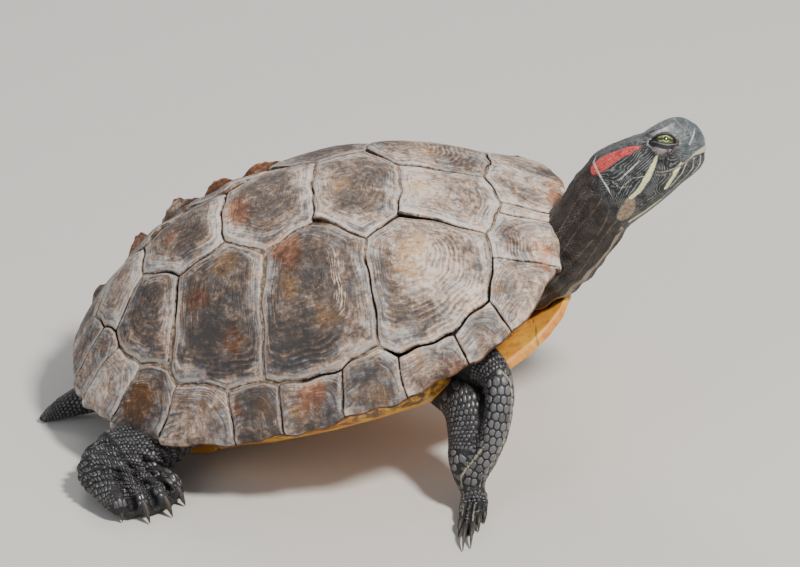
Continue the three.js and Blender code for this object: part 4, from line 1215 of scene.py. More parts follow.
# ---- markings: stripes over the surface of the head, in its own mm ----
boldStripes = [
    ([(28.6, 11.3, 6.9), (24.7, 12.6, 3.3), (20.2, 13.6, -0.5), (14.5, 14.1, -3.9), (10.2, 14.2, -5.2)],
     (0.75, 0.9, 1.25, 1.0, 0.8)),
    ([(34.8, 9.4, -1.6), (30.0, 9.9, -4.5), (24.6, 10.0, -8.1)], (0.6, 0.8, 0.75)),
    ([(20, 7.4, -11.6), (12, 7.8, -13.8), (4, 8, -15.5)], (0.5, 0.8, 0.8)),
    ([(38, 2.2, -7.6), (28, 2.6, -11.0), (16, 2.8, -14.6)], (0.45, 0.6, 0.6)),
]
redPatch = ([(24.0, 9.6, 12.1), (17.7, 9.7, 12.4), (11.6, 9.7, 12.5), (6.2, 9.6, 11.9), (1.5, 9.4, 11.2)],
            (0.25, 1.8, 2.5, 3.2, 2.9))
creamPatch = ([(9.2, 13.4, -6.6), (6.4, 12.6, -9.6), (3.4, 11.6, -11.4)], (2.0, 3.2, 2.8))
thinLines = [
    ([(25.8, 8.1, 13.4), (25.0, 10.5, 10.0), (26.6, 11.5, 6.9), (30.5, 11.2, 4.4)], (0.3, 0.45, 0.4, 0.2)),
    ([(46.5, 2.5, 9.5), (44.5, 5.5, 7.0), (41.1, 7.2, 3.9), (36, 9.2, 1.9), (31.1, 10.8, 0.6)], 0.28),
    ([(33.5, 9.9, 5.7), (28.9, 11.5, 0.7)], 0.28),
    ([(20.2, 12.8, 7.3), (14.8, 14.0, 5.4), (9.4, 14.4, 3.7)], (0.2, 0.35, 0.2)),
    ([(3.4, 4.0, 16.0), (1.2, 6.7, 13.5), (1.9, 10.6, 10.4), (3.0, 13.7, 4.1), (3.5, 14.2, -2.6)],
     (0.12, 0.35, 0.45, 0.35, 0.12)),
    ([(44.3, 4.8, -0.9), (42.5, 4.6, -3.5), (40.6, 4.2, -5.6), (36, 4.4, -7.6)], 0.28),
    ([(37.6, 8.2, -1.8), (33.2, 8.3, -5.4), (26.1, 9.0, -8.6)], 0.2),
    ([(40.4, 6.6, -2.0), (37.6, 5.9, -5.6), (30, 6.5, -9.0), (21, 7.6, -11.3)], 0.2),
    ([(19, 14, 0.7), (14.9, 14.3, 2.0), (10, 14.8, 1.0), (6.3, 14.3, -1.5)], 0.14),
    ([(12.5, 14.7, -0.8), (8, 14.9, 0.7), (6.3, 14.1, 4.1)], 0.14),
    ([(35, 6.5, 14.2), (29, 7.3, 15.2), (22, 8.2, 15.0)], 0.18),
    ([(44, 0.9, 11.5), (34, 1.2, 15.2), (20, 1.6, 16.4)], 0.16),
]
legLines = [  # pale lines on the legs, in level mm round the middle of the shell
    ([(80.1, -62.7, 2.8), (83.6, -63.9, -1.5), (85.0, -66.6, -7.5), (85.0, -69.2, -13), (84.2, -71.4, -18.5),
      (82.6, -73.6, -23.8), (79.8, -76, -29.5), (77.0, -77.6, -35), (74.6, -78.2, -39.5),
      (73.8, -80, -45)], 0.42),
    ([(74.4, -75.6, -26.0), (70.8, -76.4, -31.2), (67.4, -77.2, -35.2), (64.8, -77.1, -40.1),
      (64.0, -79.0, -45.3), (64.6, -84, -50)], 0.42),
    ([(66.2, -84, -50), (65.6, -89, -52), (65.4, -93, -54)], 0.2),
    ([(70.9, -82, -50), (70.4, -89, -51), (70.2, -96, -54)], 0.22),
    ([(84, 66, -5), (87.5, 70, -14), (86, 74, -26), (82.5, 77, -36), (81, 81, -45)], 0.7),
]


# angles round the neck, and half-widths
neckLines = [(0.12, 0.6), (0.5, 0.45), (1.15, 0.3), (1.45, 0.3), (1.9, 0.25), (2.4, 0.25)]
throatLine = (0.70, 1.5)
neckRadius = 15.5
farAway = 9.0  # the distance stored where a mark is nowhere near


def markings(points, normals):
    # signed distances in mm to the borders of the coloured marks, for skin and scales alike
    q, n, _ = mirrored(points, normals)
    body = toBody(points)
    near = q[:, 0] > -16
    x, _, z = q.T

    def lines(places, directions, drawn):
        return np.min([lineDistance(places, directions, *line) for line in drawn], axis=0, initial=farAway)

    marks = {"legLine": lines(body, normals, legLines)}
    drawings = {"bold": boldStripes, "red": [redPatch], "cream": [creamPatch], "thin": thinLines}
    for name, drawn in drawings.items():
        marks[name] = np.full(len(q), farAway)
        marks[name][near] = lines(q[near], n[near], drawn)
    share, angle = neckSpace(points)
    onNeck = (1 - ease(x, -3, 1)) * ease(body[:, 0], 72, 92) * (body[:, 2] > 2) * (np.abs(body[:, 1]) < 26)
    stripes = [np.abs(angle - way * (place + 0.05 * np.sin(share * 0.17 + place * 9))) * neckRadius - width
               for place, width in neckLines for way in (-1, 1)]
    throat = np.abs(np.abs(angle) - throatLine[0] - 0.05 * np.sin(share * 0.2)) * neckRadius - throatLine[1]
    marks["neckLine"] = np.where(onNeck > 0.1, np.min(stripes, axis=0, initial=farAway), farAway)
    marks["throat"] = np.where(onNeck > 0.1, throat, farAway)
    marks["neckPart"] = onNeck
    marks["headPart"] = ease(x, -4, 6)
    overMouth = z - np.interp(x, mouthLine[:, 0], mouthLine[:, 1])
    thick = 0.35 + 1.15 * ease(x, 38, 46.5)
    marks["beak"] = np.where(x > 24.4, np.abs(overMouth - 0.15 - thick) - thick, farAway)
    # the fine lines follow the nearest stripe, patch or mouth
    mouthFar = np.where(x > 24, np.abs(overMouth) + 0.3, farAway) + 9 * (1 - ease(x, 25, 30))
    flow = np.minimum(np.minimum(marks["bold"], marks["red"] + 0.4), mouthFar)
    flow = flow + 0.35 * np.hypot(x - 12, z - 2)
    marks["flow"] = flow * (1 - onNeck) + angle * 16.0 * onNeck
    # painted sheen: the snout over the mouth is marked for a mottled bluish grey
    marks["snout"] = ease(x + 0.35 * (z - 8), 31, 38) * (overMouth > 0)
    # painted sheen: the upward-facing top of the head is marked for a lighter bluish grey
    marks["crown"] = ease(n[:, 2], 0.35, 0.9) * ease(x, 8, 30)
    u, w, out, radius, s = eyeSpace(q)
    atEye = (out > lids["behind"]) & (radius < 10)
    marks["lid"] = np.where(atEye, s + 5 * (1 - nearEye(q, radius)), farAway)
    marks["lidFront"] = np.where(atEye, u, -farAway)
    marks["lidUpper"] = w
    return marks


hide = {
    "black": (0.009, 0.009, 0.010), "headBlack": (0.010, 0.010, 0.012), "neckBrown": (0.013, 0.009, 0.008),
    # snout and crown are painted sheen, bluish greys lighter than the head's black
    "snout": (0.085, 0.105, 0.115), "crown": (0.070, 0.073, 0.080), "flow": (0.36, 0.38, 0.36),
    "yellow": (0.66, 0.66, 0.38), "red": (0.48, 0.040, 0.038), "redPale": (0.62, 0.22, 0.19),
    "redDark": (0.16, 0.012, 0.012), "cream": (0.33, 0.25, 0.17), "thin": (0.56, 0.57, 0.52),
    "beak": (0.50, 0.46, 0.34), "lid": (0.035, 0.030, 0.038), "lidCorner": (0.14, 0.075, 0.055),
    "lidPale": (0.42, 0.46, 0.42), "orbit": (0.48, 0.42, 0.42), "edge": (0.40, 0.36, 0.24),
    "grey": (0.024, 0.022, 0.023), "neckTan": (0.038, 0.026, 0.020), "headGrey": (0.030, 0.032, 0.038),
    "creamDark": (0.20, 0.14, 0.09), "yellowDark": (0.42, 0.43, 0.24), "slit": (0.006, 0.005, 0.005),
    "plate": (0.125, 0.122, 0.13), "platePaleEdge": (0.26, 0.25, 0.24), "plateRim": (0.008, 0.007, 0.007),
}


def skinColour(p, place):
    blotch, fine = p.grain(place, 260, 4, 0.6), p.grain(place, 700, 3, 0.6)
    speck = p.grain(place, 1500, 3, 0.6)
    roughen = blotch.sway(0.5) + speck.sway(0.8) + fine.sway(0.5)
    headPart, neckPart, snout = (p.value(name) for name in ("headPart", "neckPart", "snout"))

    def within(name, soft, wear):
        return 1 - p.step(p.value(name) + roughen * wear, -soft, soft)

    neck = p.mix(p.step(blotch, 0.45, 0.7), hide["neckBrown"], hide["neckTan"])
    top = p.layers(
        hide["headBlack"], (p.step(blotch, 0.42, 0.66), hide["headGrey"]),
        # painted sheen on the top of the head, broken by fine noise
        (p.value("crown") * p.step(fine, 0.30, 0.62), hide["crown"]),
        # painted sheen on the snout, mottled with darker patches
        (snout * (0.55 + p.step(blotch, 0.4, 0.6) * 0.45), hide["snout"]))
    # fine pale lines run beside the marks
    wave = ((p.value("flow") + blotch.sway(1.1) + fine.sway(0.5)) * 7.4).sine()
    lines = p.step(wave + speck.sway(1.0), 0.25, 1.05) * p.step(blotch * 0.5 + fine * 0.5, 0.38, 0.56)
    streaks = ((p.value("red") + blotch.sway(1.6)) * 6.5).sine()
    red = p.layers(
        hide["red"], (p.step(streaks + speck.sway(1.0), 0.2, 0.9) * 0.55, hide["redPale"]),
        (p.step(fine + blotch.sway(0.6), 0.52, 0.68) * 0.65, hide["redDark"]))
    yellow = p.mix(p.step(fine, 0.42, 0.62) * 0.45, hide["yellow"], hide["yellowDark"])
    # lids: black edge, pale lower rim, dark band, pale ring round the orbit
    lid, upper, front = (p.value(name) for name in ("lid", "lidUpper", "lidFront"))
    band = 1 - p.step(lid + fine.sway(0.8), 1.5, 2.1)
    rim = p.step(lid, 0.35, 0.5) * (1 - p.step(lid, 0.55, 0.8)) * (1 - p.step(upper, -1.4, -0.4))
    waver = lid + fine.sway(0.5)
    ring = p.step(waver, 1.9, 2.2) * (1 - p.step(waver, 2.9, 3.6)) * (1 - p.step(front, -1.5, 2.5) * 0.85)
    dusted = p.step(speck, 0.3, 0.6)
    colour = p.layers(
        hide["black"],
        (p.step(blotch, 0.4, 0.7) * 0.7, hide["grey"]),
        (neckPart, neck),
        (headPart, top),
        (lines * headPart * (1 - snout * 0.5) * 0.5, hide["flow"]),
        (lines * neckPart * 0.10, hide["cream"]),
        (within("neckLine", 0.35, 0.9) * p.step(blotch, 0.30, 0.60) * 0.33, hide["cream"]),
        (within("throat", 0.4, 1.2) * p.step(blotch, 0.32, 0.46) * 0.85, hide["cream"]),
        (within("cream", 0.5, 1.2), p.mix(p.step(fine, 0.4, 0.6), hide["cream"], hide["creamDark"])),
        (within("red", 0.35, 1.5), red),
        (within("bold", 0.22, 0.9), yellow),
        (within("thin", 0.14, 0.5) * (0.55 + p.step(fine, 0.4, 0.6) * 0.4), hide["thin"]),
        (within("beak", 0.35, 0.9) * 0.85, hide["beak"]),
        (within("legLine", 0.2, 0.8) * 0.8, hide["edge"]),
        (band * 0.9, p.mix(p.step(front, 3.2, 5.0), hide["lid"], hide["lidCorner"])),
        (rim * dusted * 0.6, hide["lidPale"]),
        (ring * dusted, hide["orbit"]),
        ((1 - p.step(lid, 0.1, 0.4)) * 0.95, hide["slit"]))
    return colour, blotch, speck


def paintSkin():
    p = Paint("turtleSkin")
    place = p.place()
    colour, blotch, speck = skinColour(p, place)
    creases = p.step(p.cells(place, 900), 0.0, 0.16)
    fine, headPart = p.grain(place, 2600, 3, 0.6), p.value("headPart")
    height = creases * (1 - headPart * 0.75) * 0.8 + fine * 0.5 + blotch * 0.3
    rough = 0.52 - headPart * 0.10 - p.value("snout") * 0.12 + speck.sway(0.3)
    return p.finish(colour, rough, p.bump(height, 0.55, 0.0004), IOR=1.45, Specular_IOR_Level=0.5)


turtleSkin = paintSkin()


def nearHead(places, span, around=99):  # between two planes of the head, and near its eyes
    low, high = span
    q = toHead(places)
    eye = np.linalg.norm(q * np.where(q[:, 1:2] < 0, [1, -1, 1], [1, 1, 1]) - head["eye"], axis=1)
    return (q[:, 0] > low) & (q[:, 0] < high) & (eye < around)


def nearToes(places):
    chosen = np.zeros(len(places), dtype=bool)
    for limb in limbs.values():
        away = toBody(places) - limb["palm"][-1][:3]
        chosen |= ((np.linalg.norm(away[:, :2], axis=1) < skinSizes["toeReach"])
                   & (away[:, 2] < skinSizes["toeHeight"]))
    return chosen


def splitFaces(bm, wanted):
    faces = list(bm.faces)
    chosen = wanted(np.array([face.calc_center_median() for face in faces]))
    edges = list({edge for face, split in zip(faces, chosen) if split for edge in face.edges})
    bmesh.ops.subdivide_edges(bm, edges=edges, cuts=1, use_grid_fill=True)


def makeSkin():
    bm = asBmesh(fuseFlesh())
    smoothMesh(bm, bm.verts, skinSizes["smooth"])
    low, high = skinSizes["head"]
    splitFaces(bm, lambda places: nearHead(places, (low, high)) | nearToes(places))
    fromNeck = toHead(np.array([v.co for v in bm.verts]))[:, 0]
    smoothMesh(bm, [v for v, x in zip(bm.verts, fromNeck) if low + 1 < x < high], skinSizes["headSmooth"])
    splitFaces(bm, lambda places: nearHead(places, skinSizes["eyes"], skinSizes["eyeReach"]))
    mesh = asMesh(bm)
    points = vertexTable(mesh)
    for change in (shapeHead, carveToes, furrows):
        points = change(points, vertexTable(mesh, "normal"))
        points[:, 2] = np.maximum(points[:, 2], 0)  # small flats where it stands
        movePoints(mesh, points)
    storeMarks(mesh, markings(points, vertexTable(mesh, "normal")))
    return mesh


fleshNodes = ["trunk", "neck", "head", "lower_jaw", "tail"]
fleshNodes += [f"{end}_{part}" for end in limbs for part in ("leg", "foot")]
skinMesh = makeSkin()
addPiece(skinMesh, "turtle_skin", turtleSkin, fleshNodes)
print("skin made:", len(skinMesh.polygons), "faces")

# ---- scales: flat-topped plates that fill the skin of limbs, tail and nape ----
# path, up, size in mm, height, ends of the scaled stretch, slant of the rows, bands of larger scales
scaleParts = {
    "neck": {"path": neckStations, "up": (-1, 0, 1), "size": 1.5, "height": 0.07, "span": (0.30, 0.93),
             "turns": (35, 145)},
    "tail": {"path": tailStations, "up": (0, 0, 1), "size": 2.3, "height": 0.30, "span": (0.12, 0.97)},
}
# rows of wide plates down the outer front of the forearm; wide leg plates are drawn lighter as painted
# sunlight
wideScales = {
    ("front_right", 0): {"turns": (98, 228), "span": (0.34, 0.99), "size": 4.3},
    ("front_left", 0): {"turns": (-48, 82), "span": (0.34, 0.99), "size": 4.3},
    ("front_right", 1): {"turns": (110, 250), "span": (0.66, 0.97), "size": 4.2},
}
for end, limb in limbs.items():
    front = end.startswith("front")
    for i, stations in enumerate(limb["legs"]):
        scaleParts[f"{end}_leg_{i + 1}"] = {
            "path": stations, "up": limb["up"], "size": 2.0, "height": 0.28, "span": (0.22, 0.99),
            "bands": [band for place, band in wideScales.items() if place == (end, i)]}
    scaleParts[f"{end}_palm"] = {
        "path": limb["palm"], "up": (0, 0, 1), "size": 2.0, "height": 0.26, "span": (0.02, 0.99),
        "slant": limb.get("slant", 0), "step": 0.8 if front else 0.52, "pale": 0 if front else 1}
    for i, (root, knuckle, tip, _) in enumerate(toes(limb)):
        r = limb["r"]
        scaleParts[f"{end}_toe_{i + 1}"] = {
            "path": [(*root, r, r), (*knuckle, r, r), (*tip, r * 0.75, r * 0.7)], "up": (0, 0, 1),
            "size": 2.1 if front else 3.2, "height": 0.2, "span": (0.12, 0.92), "turns": (10, 170)}


def makePlate(sides):  # a flat round plate of a few rings
    bm = bmesh.new()
    bmesh.ops.create_circle(bm, cap_ends=True, cap_tris=False, segments=sides, radius=1.0)
    for inward in (0.07, 0.18, 0.36):
        middle = [face for face in bm.faces if len(face.verts) == sides]
        bmesh.ops.inset_individual(bm, faces=middle, thickness=inward, use_even_offset=True)
    bmesh.ops.poke(bm, faces=[face for face in bm.faces if len(face.verts) == sides])
    return asMesh(bm, "plate")


wrap = {"step": 0.8, "columns": 60, "reach": 1.45, "ray": 0.06}  # mm, count, share of the limb's size, metres


def wrapTable(part, tree):  # the skin's surface round a limb: points by row along it and column round it
    middle, size, _, side, over = tubeFrame(part["path"], wrap["step"], part["up"])
    turns = np.arange(wrap["columns"]) * 2 * pi / wrap["columns"]
    points = np.zeros((len(middle), len(turns), 3))
    good = np.zeros(points.shape[:2], dtype=bool)
    for i in range(len(middle)):
        limit = max(size[i]) * wrap["reach"]
        for j, turn in enumerate(turns):
            way = side[i] * cos(turn) + over[i] * sin(turn)
            hit = tree.ray_cast(Vector(fromBody(middle[i])), Vector(way), wrap["ray"])
            far = hit[3] / mm if hit[0] is not None else limit
            good[i, j] = far < limit
            points[i, j] = middle[i] + way * min(far, limit)
    along = np.gradient(points, axis=0)
    around = (np.roll(points, -1, axis=1) - np.roll(points, 1, axis=1)) / 2
    normals = unit(np.cross(around, along))
    outward = points - middle[:, None]
    normals = normals * np.where(np.sum(normals * outward, axis=-1, keepdims=True) < 0, -1, 1)
    return {"points": points, "normals": normals, "good": good, "length": wrap["step"] * (len(middle) - 1),
            "radius": np.linalg.norm(outward, axis=-1).mean()}


def onTable(table, field, u, v):
    rows, columns = table["good"].shape
    a = np.clip(u / table["length"], 0, 1) * (rows - 1.001)
    b = np.mod(v / (2 * pi * table["radius"]), 1.0) * columns
    i, j = a.astype(int), b.astype(int) % columns
    fa, fb = (a - i)[..., None], (b - np.floor(b))[..., None]
    k = (j + 1) % columns
    t = table[field]
    if field == "good":
        return t[i, j] & t[i + 1, j] & t[i, k] & t[i + 1, k]
    return (t[i, j] * (1 - fa) * (1 - fb) + t[i + 1, j] * fa * (1 - fb) + t[i, k] * (1 - fa) * fb
            + t[i + 1, k] * fa * fb)


def scaleSites(part, table, dice):  # roots of scales as mm along and mm round the limb
    length, girth = table["length"], 2 * pi * table["radius"]

    def limits(area):
        ends = [share * length for share in area["span"]]
        return *ends, *(turn / 360 * girth for turn in area.get("turns", (0, 360)))

    def rows(area):
        low, high, left, right = limits(area)
        size, slant, step = area["size"], area.get("slant", 0), area.get("step", 0.87)
        count = max(2, round((right - left) / size))
        extra = 0.75 * girth * abs(slant)
        made = []
        for i, u in enumerate(np.arange(low - extra, high + extra, size * step)):
            v = left + (np.arange(count) + 0.5 * (i % 2)) * (right - left) / count
            made.append(np.stack([u + slant * (v - girth / 4), v], -1))
        made = np.vstack(made)
        made = made + dice.uniform(-1, 1, made.shape) * size * np.array([0.13 * step, 0.22])
        return made[(made[:, 0] > low) & (made[:, 0] < high)]

    sites = rows(part)
    for band in part.get("bands", []):
        low, high, left, right = limits(band)
        inside = (np.mod(sites[:, 1] - left + 1, girth) < right - left + 1) & (sites[:, 0] > low - 1)
        inside &= sites[:, 0] < high + 1
        sites = np.vstack([sites[~inside], rows(band)])
    return sites


def cellRound(others, reach):  # the polygon of places nearer to a scale's root than to its neighbours
    cell = [np.array(p) * reach for p in ((-1, -1), (1, -1), (1, 1), (-1, 1))]
    for way in others:
        limit = way @ way / 2
        kept = []
        for a, b in zip(cell, cell[1:] + cell[:1]):
            da, db = a @ way - limit, b @ way - limit
            if da <= 0:
                kept.append(a)
            if (da < 0) != (db < 0):
                kept.append(a + (b - a) * (da / (da - db)))
        cell = kept
        if len(cell) < 3:
            return None
    return np.array(cell)


def evenRound(cell, sides):  # the same polygon with evenly spaced corners, a little rounded
    closed = np.vstack([cell, cell[:1]])
    walked = np.concatenate([[0], np.cumsum(np.linalg.norm(np.diff(closed, axis=0), axis=1))])
    t = np.linspace(0, walked[-1], sides, endpoint=False)
    for corner in walked[1:-1]:
        t[np.argmin(np.abs(t - corner))] = corner
    loop = np.stack([np.interp(t, walked, closed[:, 0]), np.interp(t, walked, closed[:, 1])], -1)
    return (np.roll(loop, 1, axis=0) + 9 * loop + np.roll(loop, -1, axis=0)) / 11


plateSides = 9
plate = makePlate(plateSides)
plateSpots = vertexTable(plate)
plateShare = np.hypot(plateSpots[:, 0], plateSpots[:, 1])  # of its radius
plateTurn = np.arctan2(plateSpots[:, 1], plateSpots[:, 0]) / (2 * pi)
plateCorner = np.rint(plateTurn * plateSides).astype(int) % plateSides
plateHeight = np.interp(plateShare, [0, 0.4, 0.78, 0.93, 1.0], [1.0, 0.96, 0.78, 0.30, -1.0])


# neighbours that shape a plate, how far it may reach, the groove round it, and how far it stays from others
plateFit = {"neighbours": 12, "reach": 0.75, "groove": 0.12, "least": 0.6, "apart": 0.85, "patch": 0.0015}


def plateLoops(sites, good, girth):  # the outline of a plate round each root, and the plate's middle
    doubled = np.vstack([sites, sites + [0, girth], sites - [0, girth]])
    for n in np.nonzero(good)[0]:
        away = doubled - sites[n]
        far = np.hypot(away[:, 0], away[:, 1])
        near = np.argsort(far)[1:1 + plateFit["neighbours"]]
        cell = cellRound(away[near], far[near[:4]].mean() * plateFit["reach"])
        if cell is None:
            continue
        middle = cell.mean(axis=0)
        loop = evenRound(cell, plateSides) - middle
        inner = np.linalg.norm(loop, axis=1).min()
        yield sites[n] + middle, loop * max(plateFit["least"], 1 - plateFit["groove"] / inner)


def makeScales(part, tree, seed, taken):
    dice = np.random.default_rng(seed)
    table = wrapTable(part, tree)
    length, girth = table["length"], 2 * pi * table["radius"]
    sites = scaleSites(part, table, dice)
    found = list(plateLoops(sites, onTable(table, "good", sites[:, 0], sites[:, 1]), girth))
    if not found:
        return None
    middles, loops = (np.array(column) for column in zip(*found))
    wide = np.linalg.norm(loops, axis=2).mean(axis=1)
    local = loops[:, plateCorner] * plateShare[None, :, None]
    u, v = (middles[:, None, i] + local[..., i] for i in (0, 1))
    tall = part["height"] * (0.85 + 0.25 * wide) * dice.uniform(0.8, 1.2, len(wide))
    normal = unit(onTable(table, "normals", u, v))
    body = onTable(table, "points", u, v) + normal * (plateHeight * tall[:, None])[..., None]
    middle = body[:, 0]
    q = toShell(fromBody(middle))
    keep = np.all(onTable(table, "good", u, v), axis=1) & (u.max(axis=1) < length)
    keep &= ~((gauge(q[:, 0], q[:, 1]) < 0.80) & (q[:, 2] > -24)) & (middle[:, 2] > 0.8 - shellMiddle[2])
    if len(taken):  # room only where no scale of the limb's last parts stands
        for i in np.nonzero(keep)[0]:
            away = np.linalg.norm(taken[:, :3] - middle[i], axis=1)
            keep[i] = np.all(away > plateFit["apart"] * (taken[:, 3] + wide[i]))
    if not keep.any():
        return None
    body, normal, local, middles, wide = (column[keep] for column in (body, normal, local, middles, wide))
    count, each = len(body), len(plateShare)
    reach = np.abs(local).max(axis=(1, 2), keepdims=True)
    patch = np.stack([middles[:, 0] / length, np.mod(middles[:, 1] / girth, 1)], -1)
    # a random tone for each plate, plus painted sunlight: the wide leg plates (the forearm's front strips)
    # get a higher tone and so a lighter grey
    shade = dice.uniform(0, 1, count) + 0.6 * (wide > 1.5) * ("bands" in part)
    return {
        "points": fromBody(body).reshape(-1, 3), "normals": normal.reshape(-1, 3), "count": count,
        "patch": np.repeat(patch, each, axis=0), "corner": (plateFit["patch"] * local / reach).reshape(-1, 2),
        "shade": np.repeat(shade, each), "rimness": np.tile(plateShare, count),
        "leading": (local[..., 0] / reach[..., 0]).reshape(-1) * part.get("pale", 0.35),
        "taken": np.column_stack([body[:, 0], wide])}


def tilePlates(groups):  # copies of the plate, each moved to its scale
    points, normals = (np.vstack([group[key] for group in groups]) for key in ("points", "normals"))
    mesh = modified(plate, "ARRAY", relative_offset_displace=(0, 0, 0), count=sum(g["count"] for g in groups))
    movePoints(mesh, points)
    # each part of the limb has its own strip of the map, and each scale its own patch there
    storeMap(mesh, "OFBake", np.vstack([
        (group["patch"] * 0.94 + 0.03 + [i, 0]) / [len(groups), 1] + group["corner"]
        for i, group in enumerate(groups)]))
    storeMarks(mesh, {key: np.concatenate([group[key] for group in groups])
                      for key in ("shade", "rimness", "leading")})
    storeMarks(mesh, markings(points, normals))
    first = mesh.polygons[0]
    if np.array(first.normal) @ normals[first.vertices[0]] < 0:
        mesh.flip_normals()
    return mesh


def paintScales():
    p = Paint("glossyScales")
    colour, blotch, speck = skinColour(p, p.place())
    shade, rimness = p.value("shade"), p.value("rimness")
    # the plates' grey follows their tone, which holds the painted sunlight on the wide leg plates
    grey = (0.25 + p.step(shade + blotch.sway(0.6), 0.1, 1.6) * 0.7) * (1 - p.value("headPart"))
    grey = grey * (1 - p.value("neckPart") * 0.8) * p.step(p.value("legLine"), 0.0, 0.3)
    # paler and rougher along the leading edge of each plate
    worn = p.step(p.value("leading") * p.step(rimness, 0.4, 0.8) + speck.sway(0.4), 0.25, 0.6)
    colour = p.layers(
        colour, (grey, hide["plate"]),
        (worn * p.step(blotch + shade.sway(0.5), 0.36, 0.56) * 0.7, hide["platePaleEdge"]),
        (p.step(rimness, 0.88, 1.0) * 0.85, hide["plateRim"]))
    rough = 0.28 + shade * 0.08 + blotch.sway(0.3) + worn * 0.2
    normal = p.bump(speck * 0.5 + blotch * 0.5, 0.35, 0.0003)
    return p.finish(colour, rough, normal, IOR=1.5, Specular_IOR_Level=0.6)


glossyScales = paintScales()
skinTree = BVHTree.FromPolygons([Vector(v) for v in vertexTable(skinMesh)],
                                [tuple(face.vertices) for face in skinMesh.polygons])
coats = {"neck": [], "tail": [], **{end: [] for end in limbs}}
for n, (name, part) in enumerate(scaleParts.items()):
    coat = coats[next(key for key in coats if name.startswith(key))]
    taken = np.vstack([group["taken"] for group in coat]) if coat else []
    made = makeScales(part, skinTree, 100 + n, taken)
    if made:
        coat.append(made)
for name, groups in coats.items():
    addPiece(tilePlates(groups), name + "_scales", glossyScales)
    print(name, "scales:", sum(group["count"] for group in groups))

# ---- eyes ----
iris = {"pupil": 1.05, "inner": 1.35, "outer": 3.2, "rim": 3.55, "bar": 0.5, "bulge": 0.28, "bulgeWidth": 2.4}
eyeTints = {
    "dark": (0.085, 0.12, 0.035), "green": (0.27, 0.31, 0.095), "shadow": (0.05, 0.065, 0.025),
    "ring": (0.42, 0.46, 0.16), "edge": (0.012, 0.012, 0.008), "bar": (0.02, 0.022, 0.008),
    "pupil": (0.002, 0.002, 0.002), "back": (0.03, 0.025, 0.02),
}


def makeEye(side):
    bm = bmesh.new()
    bmesh.ops.create_uvsphere(bm, u_segments=72, v_segments=60, radius=head["eyeRadius"])
    mesh = asMesh(bm)
    ball = vertexTable(mesh)  # the pole looks along the gaze
    across = np.hypot(ball[:, 0], ball[:, 1])
    ball[:, 2] += iris["bulge"] * bell(across, iris["bulgeWidth"]) * (ball[:, 2] > 0)
    storeMarks(mesh, dict(zip(("across", "upward", "frontal"), ball.T)))
    movePoints(mesh, fromHead((ball @ np.stack([slit, lidUp, gaze]) + head["eye"]) * [1, side, 1]))
    return welded(mesh)


def paintEye():
    p = Paint("wetEye")
    x, y, front = (p.value(name) for name in ("across", "upward", "frontal"))
    grain = p.grain(p.place(), 2400, 3, 0.6)
    r = (x * x + y * y).power(0.5)
    spokes = p.node("ShaderNodeCombineXYZ", None, {0: x / (r + 0.1), 1: y / (r + 0.1), 2: 0.0})
    level = y + 0.12
    bar = 1 - p.step(level.most(level * -1) + grain.sway(0.35), iris["bar"] - 0.12, iris["bar"] + 0.16)
    colour = p.layers(
        eyeTints["dark"],
        (p.step(p.grain(spokes, 9, 3, 0.7) * 0.6 + grain * 0.4, 0.4, 0.62), eyeTints["green"]),
        ((1 - p.step(y, -0.6, 0.6)) * 0.55, eyeTints["shadow"]),
        (1 - p.step(r, iris["inner"], iris["inner"] + 0.25), eyeTints["ring"]),
        (p.step(r + grain.sway(0.3), iris["outer"] - 0.25, iris["rim"]), eyeTints["edge"]),
        (bar * (1 - p.step(r, iris["outer"], iris["rim"])) * 0.92, eyeTints["bar"]),
        (1 - p.step(r, iris["pupil"] - 0.08, iris["pupil"] + 0.08), eyeTints["pupil"]),
        (1 - p.step(front, -0.5, 0.5), eyeTints["back"]))
    return p.finish(colour, 0.25, None, IOR=1.4, Coat_Weight=1.0, Coat_Roughness=0.02)


wetEye = paintEye()
for name, side in (("eye_left", 1), ("eye_right", -1)):
    addPiece(makeEye(side), name + "_ball", wetEye, [name])
print("eyes made")

# ---- claws ----
clawSizes = {"root": 1.1, "share": 0.27, "arch": 0.30, "tipRadius": 0.2}


def makeClaws(foot):
    sheets = []
    for _, knuckle, tip, point in toes(foot):
        length = np.linalg.norm(point - tip)
        start = tip + (knuckle - tip) * 0.30 + [0, 0, foot["r"] * 0.22]
        r = clawSizes["root"] + foot["r"] * clawSizes["share"]
        stations = []
        for t in np.linspace(0, 1, 7):
            middle = start + (point - start) * t + [0, 0, length * clawSizes["arch"] * sin(pi * t ** 0.85)]
            thick = max(r * (1 - t ** 2.0) ** 0.8, clawSizes["tipRadius"])
            stations.append((*middle, thick * 0.80, thick))
        sheet = tube(stations, 0.5, 20)
        along = (toBody(vertexTable(sheet)) - start) @ (point - start) / length ** 2
        storeMarks(sheet, {"reach": np.clip(along, 0, 1)})
        sheets.append(sheet)
    return asMesh(asBmesh(*sheets))


def paintClaw():
    p = Paint("clawHorn")
    streak = p.grain(p.place(), 700, 4, 0.6, 0.5)
    colour = p.layers(
        (0.022, 0.019, 0.017),
        (p.step(p.value("reach") + streak.sway(0.4), 0.45, 1.0), (0.036, 0.027, 0.020)),
        (p.step(streak, 0.50, 0.66) * 0.5, (0.070, 0.062, 0.056)))
    normal = p.bump(streak, 0.35, 0.0003)
    return p.finish(colour, 0.48 + streak * 0.2, normal, IOR=1.5, Specular_IOR_Level=0.6)


clawHorn = paintClaw()
for name, foot in limbs.items():
    addPiece(makeClaws(foot), name + "_claws", clawHorn)
print("claws made")

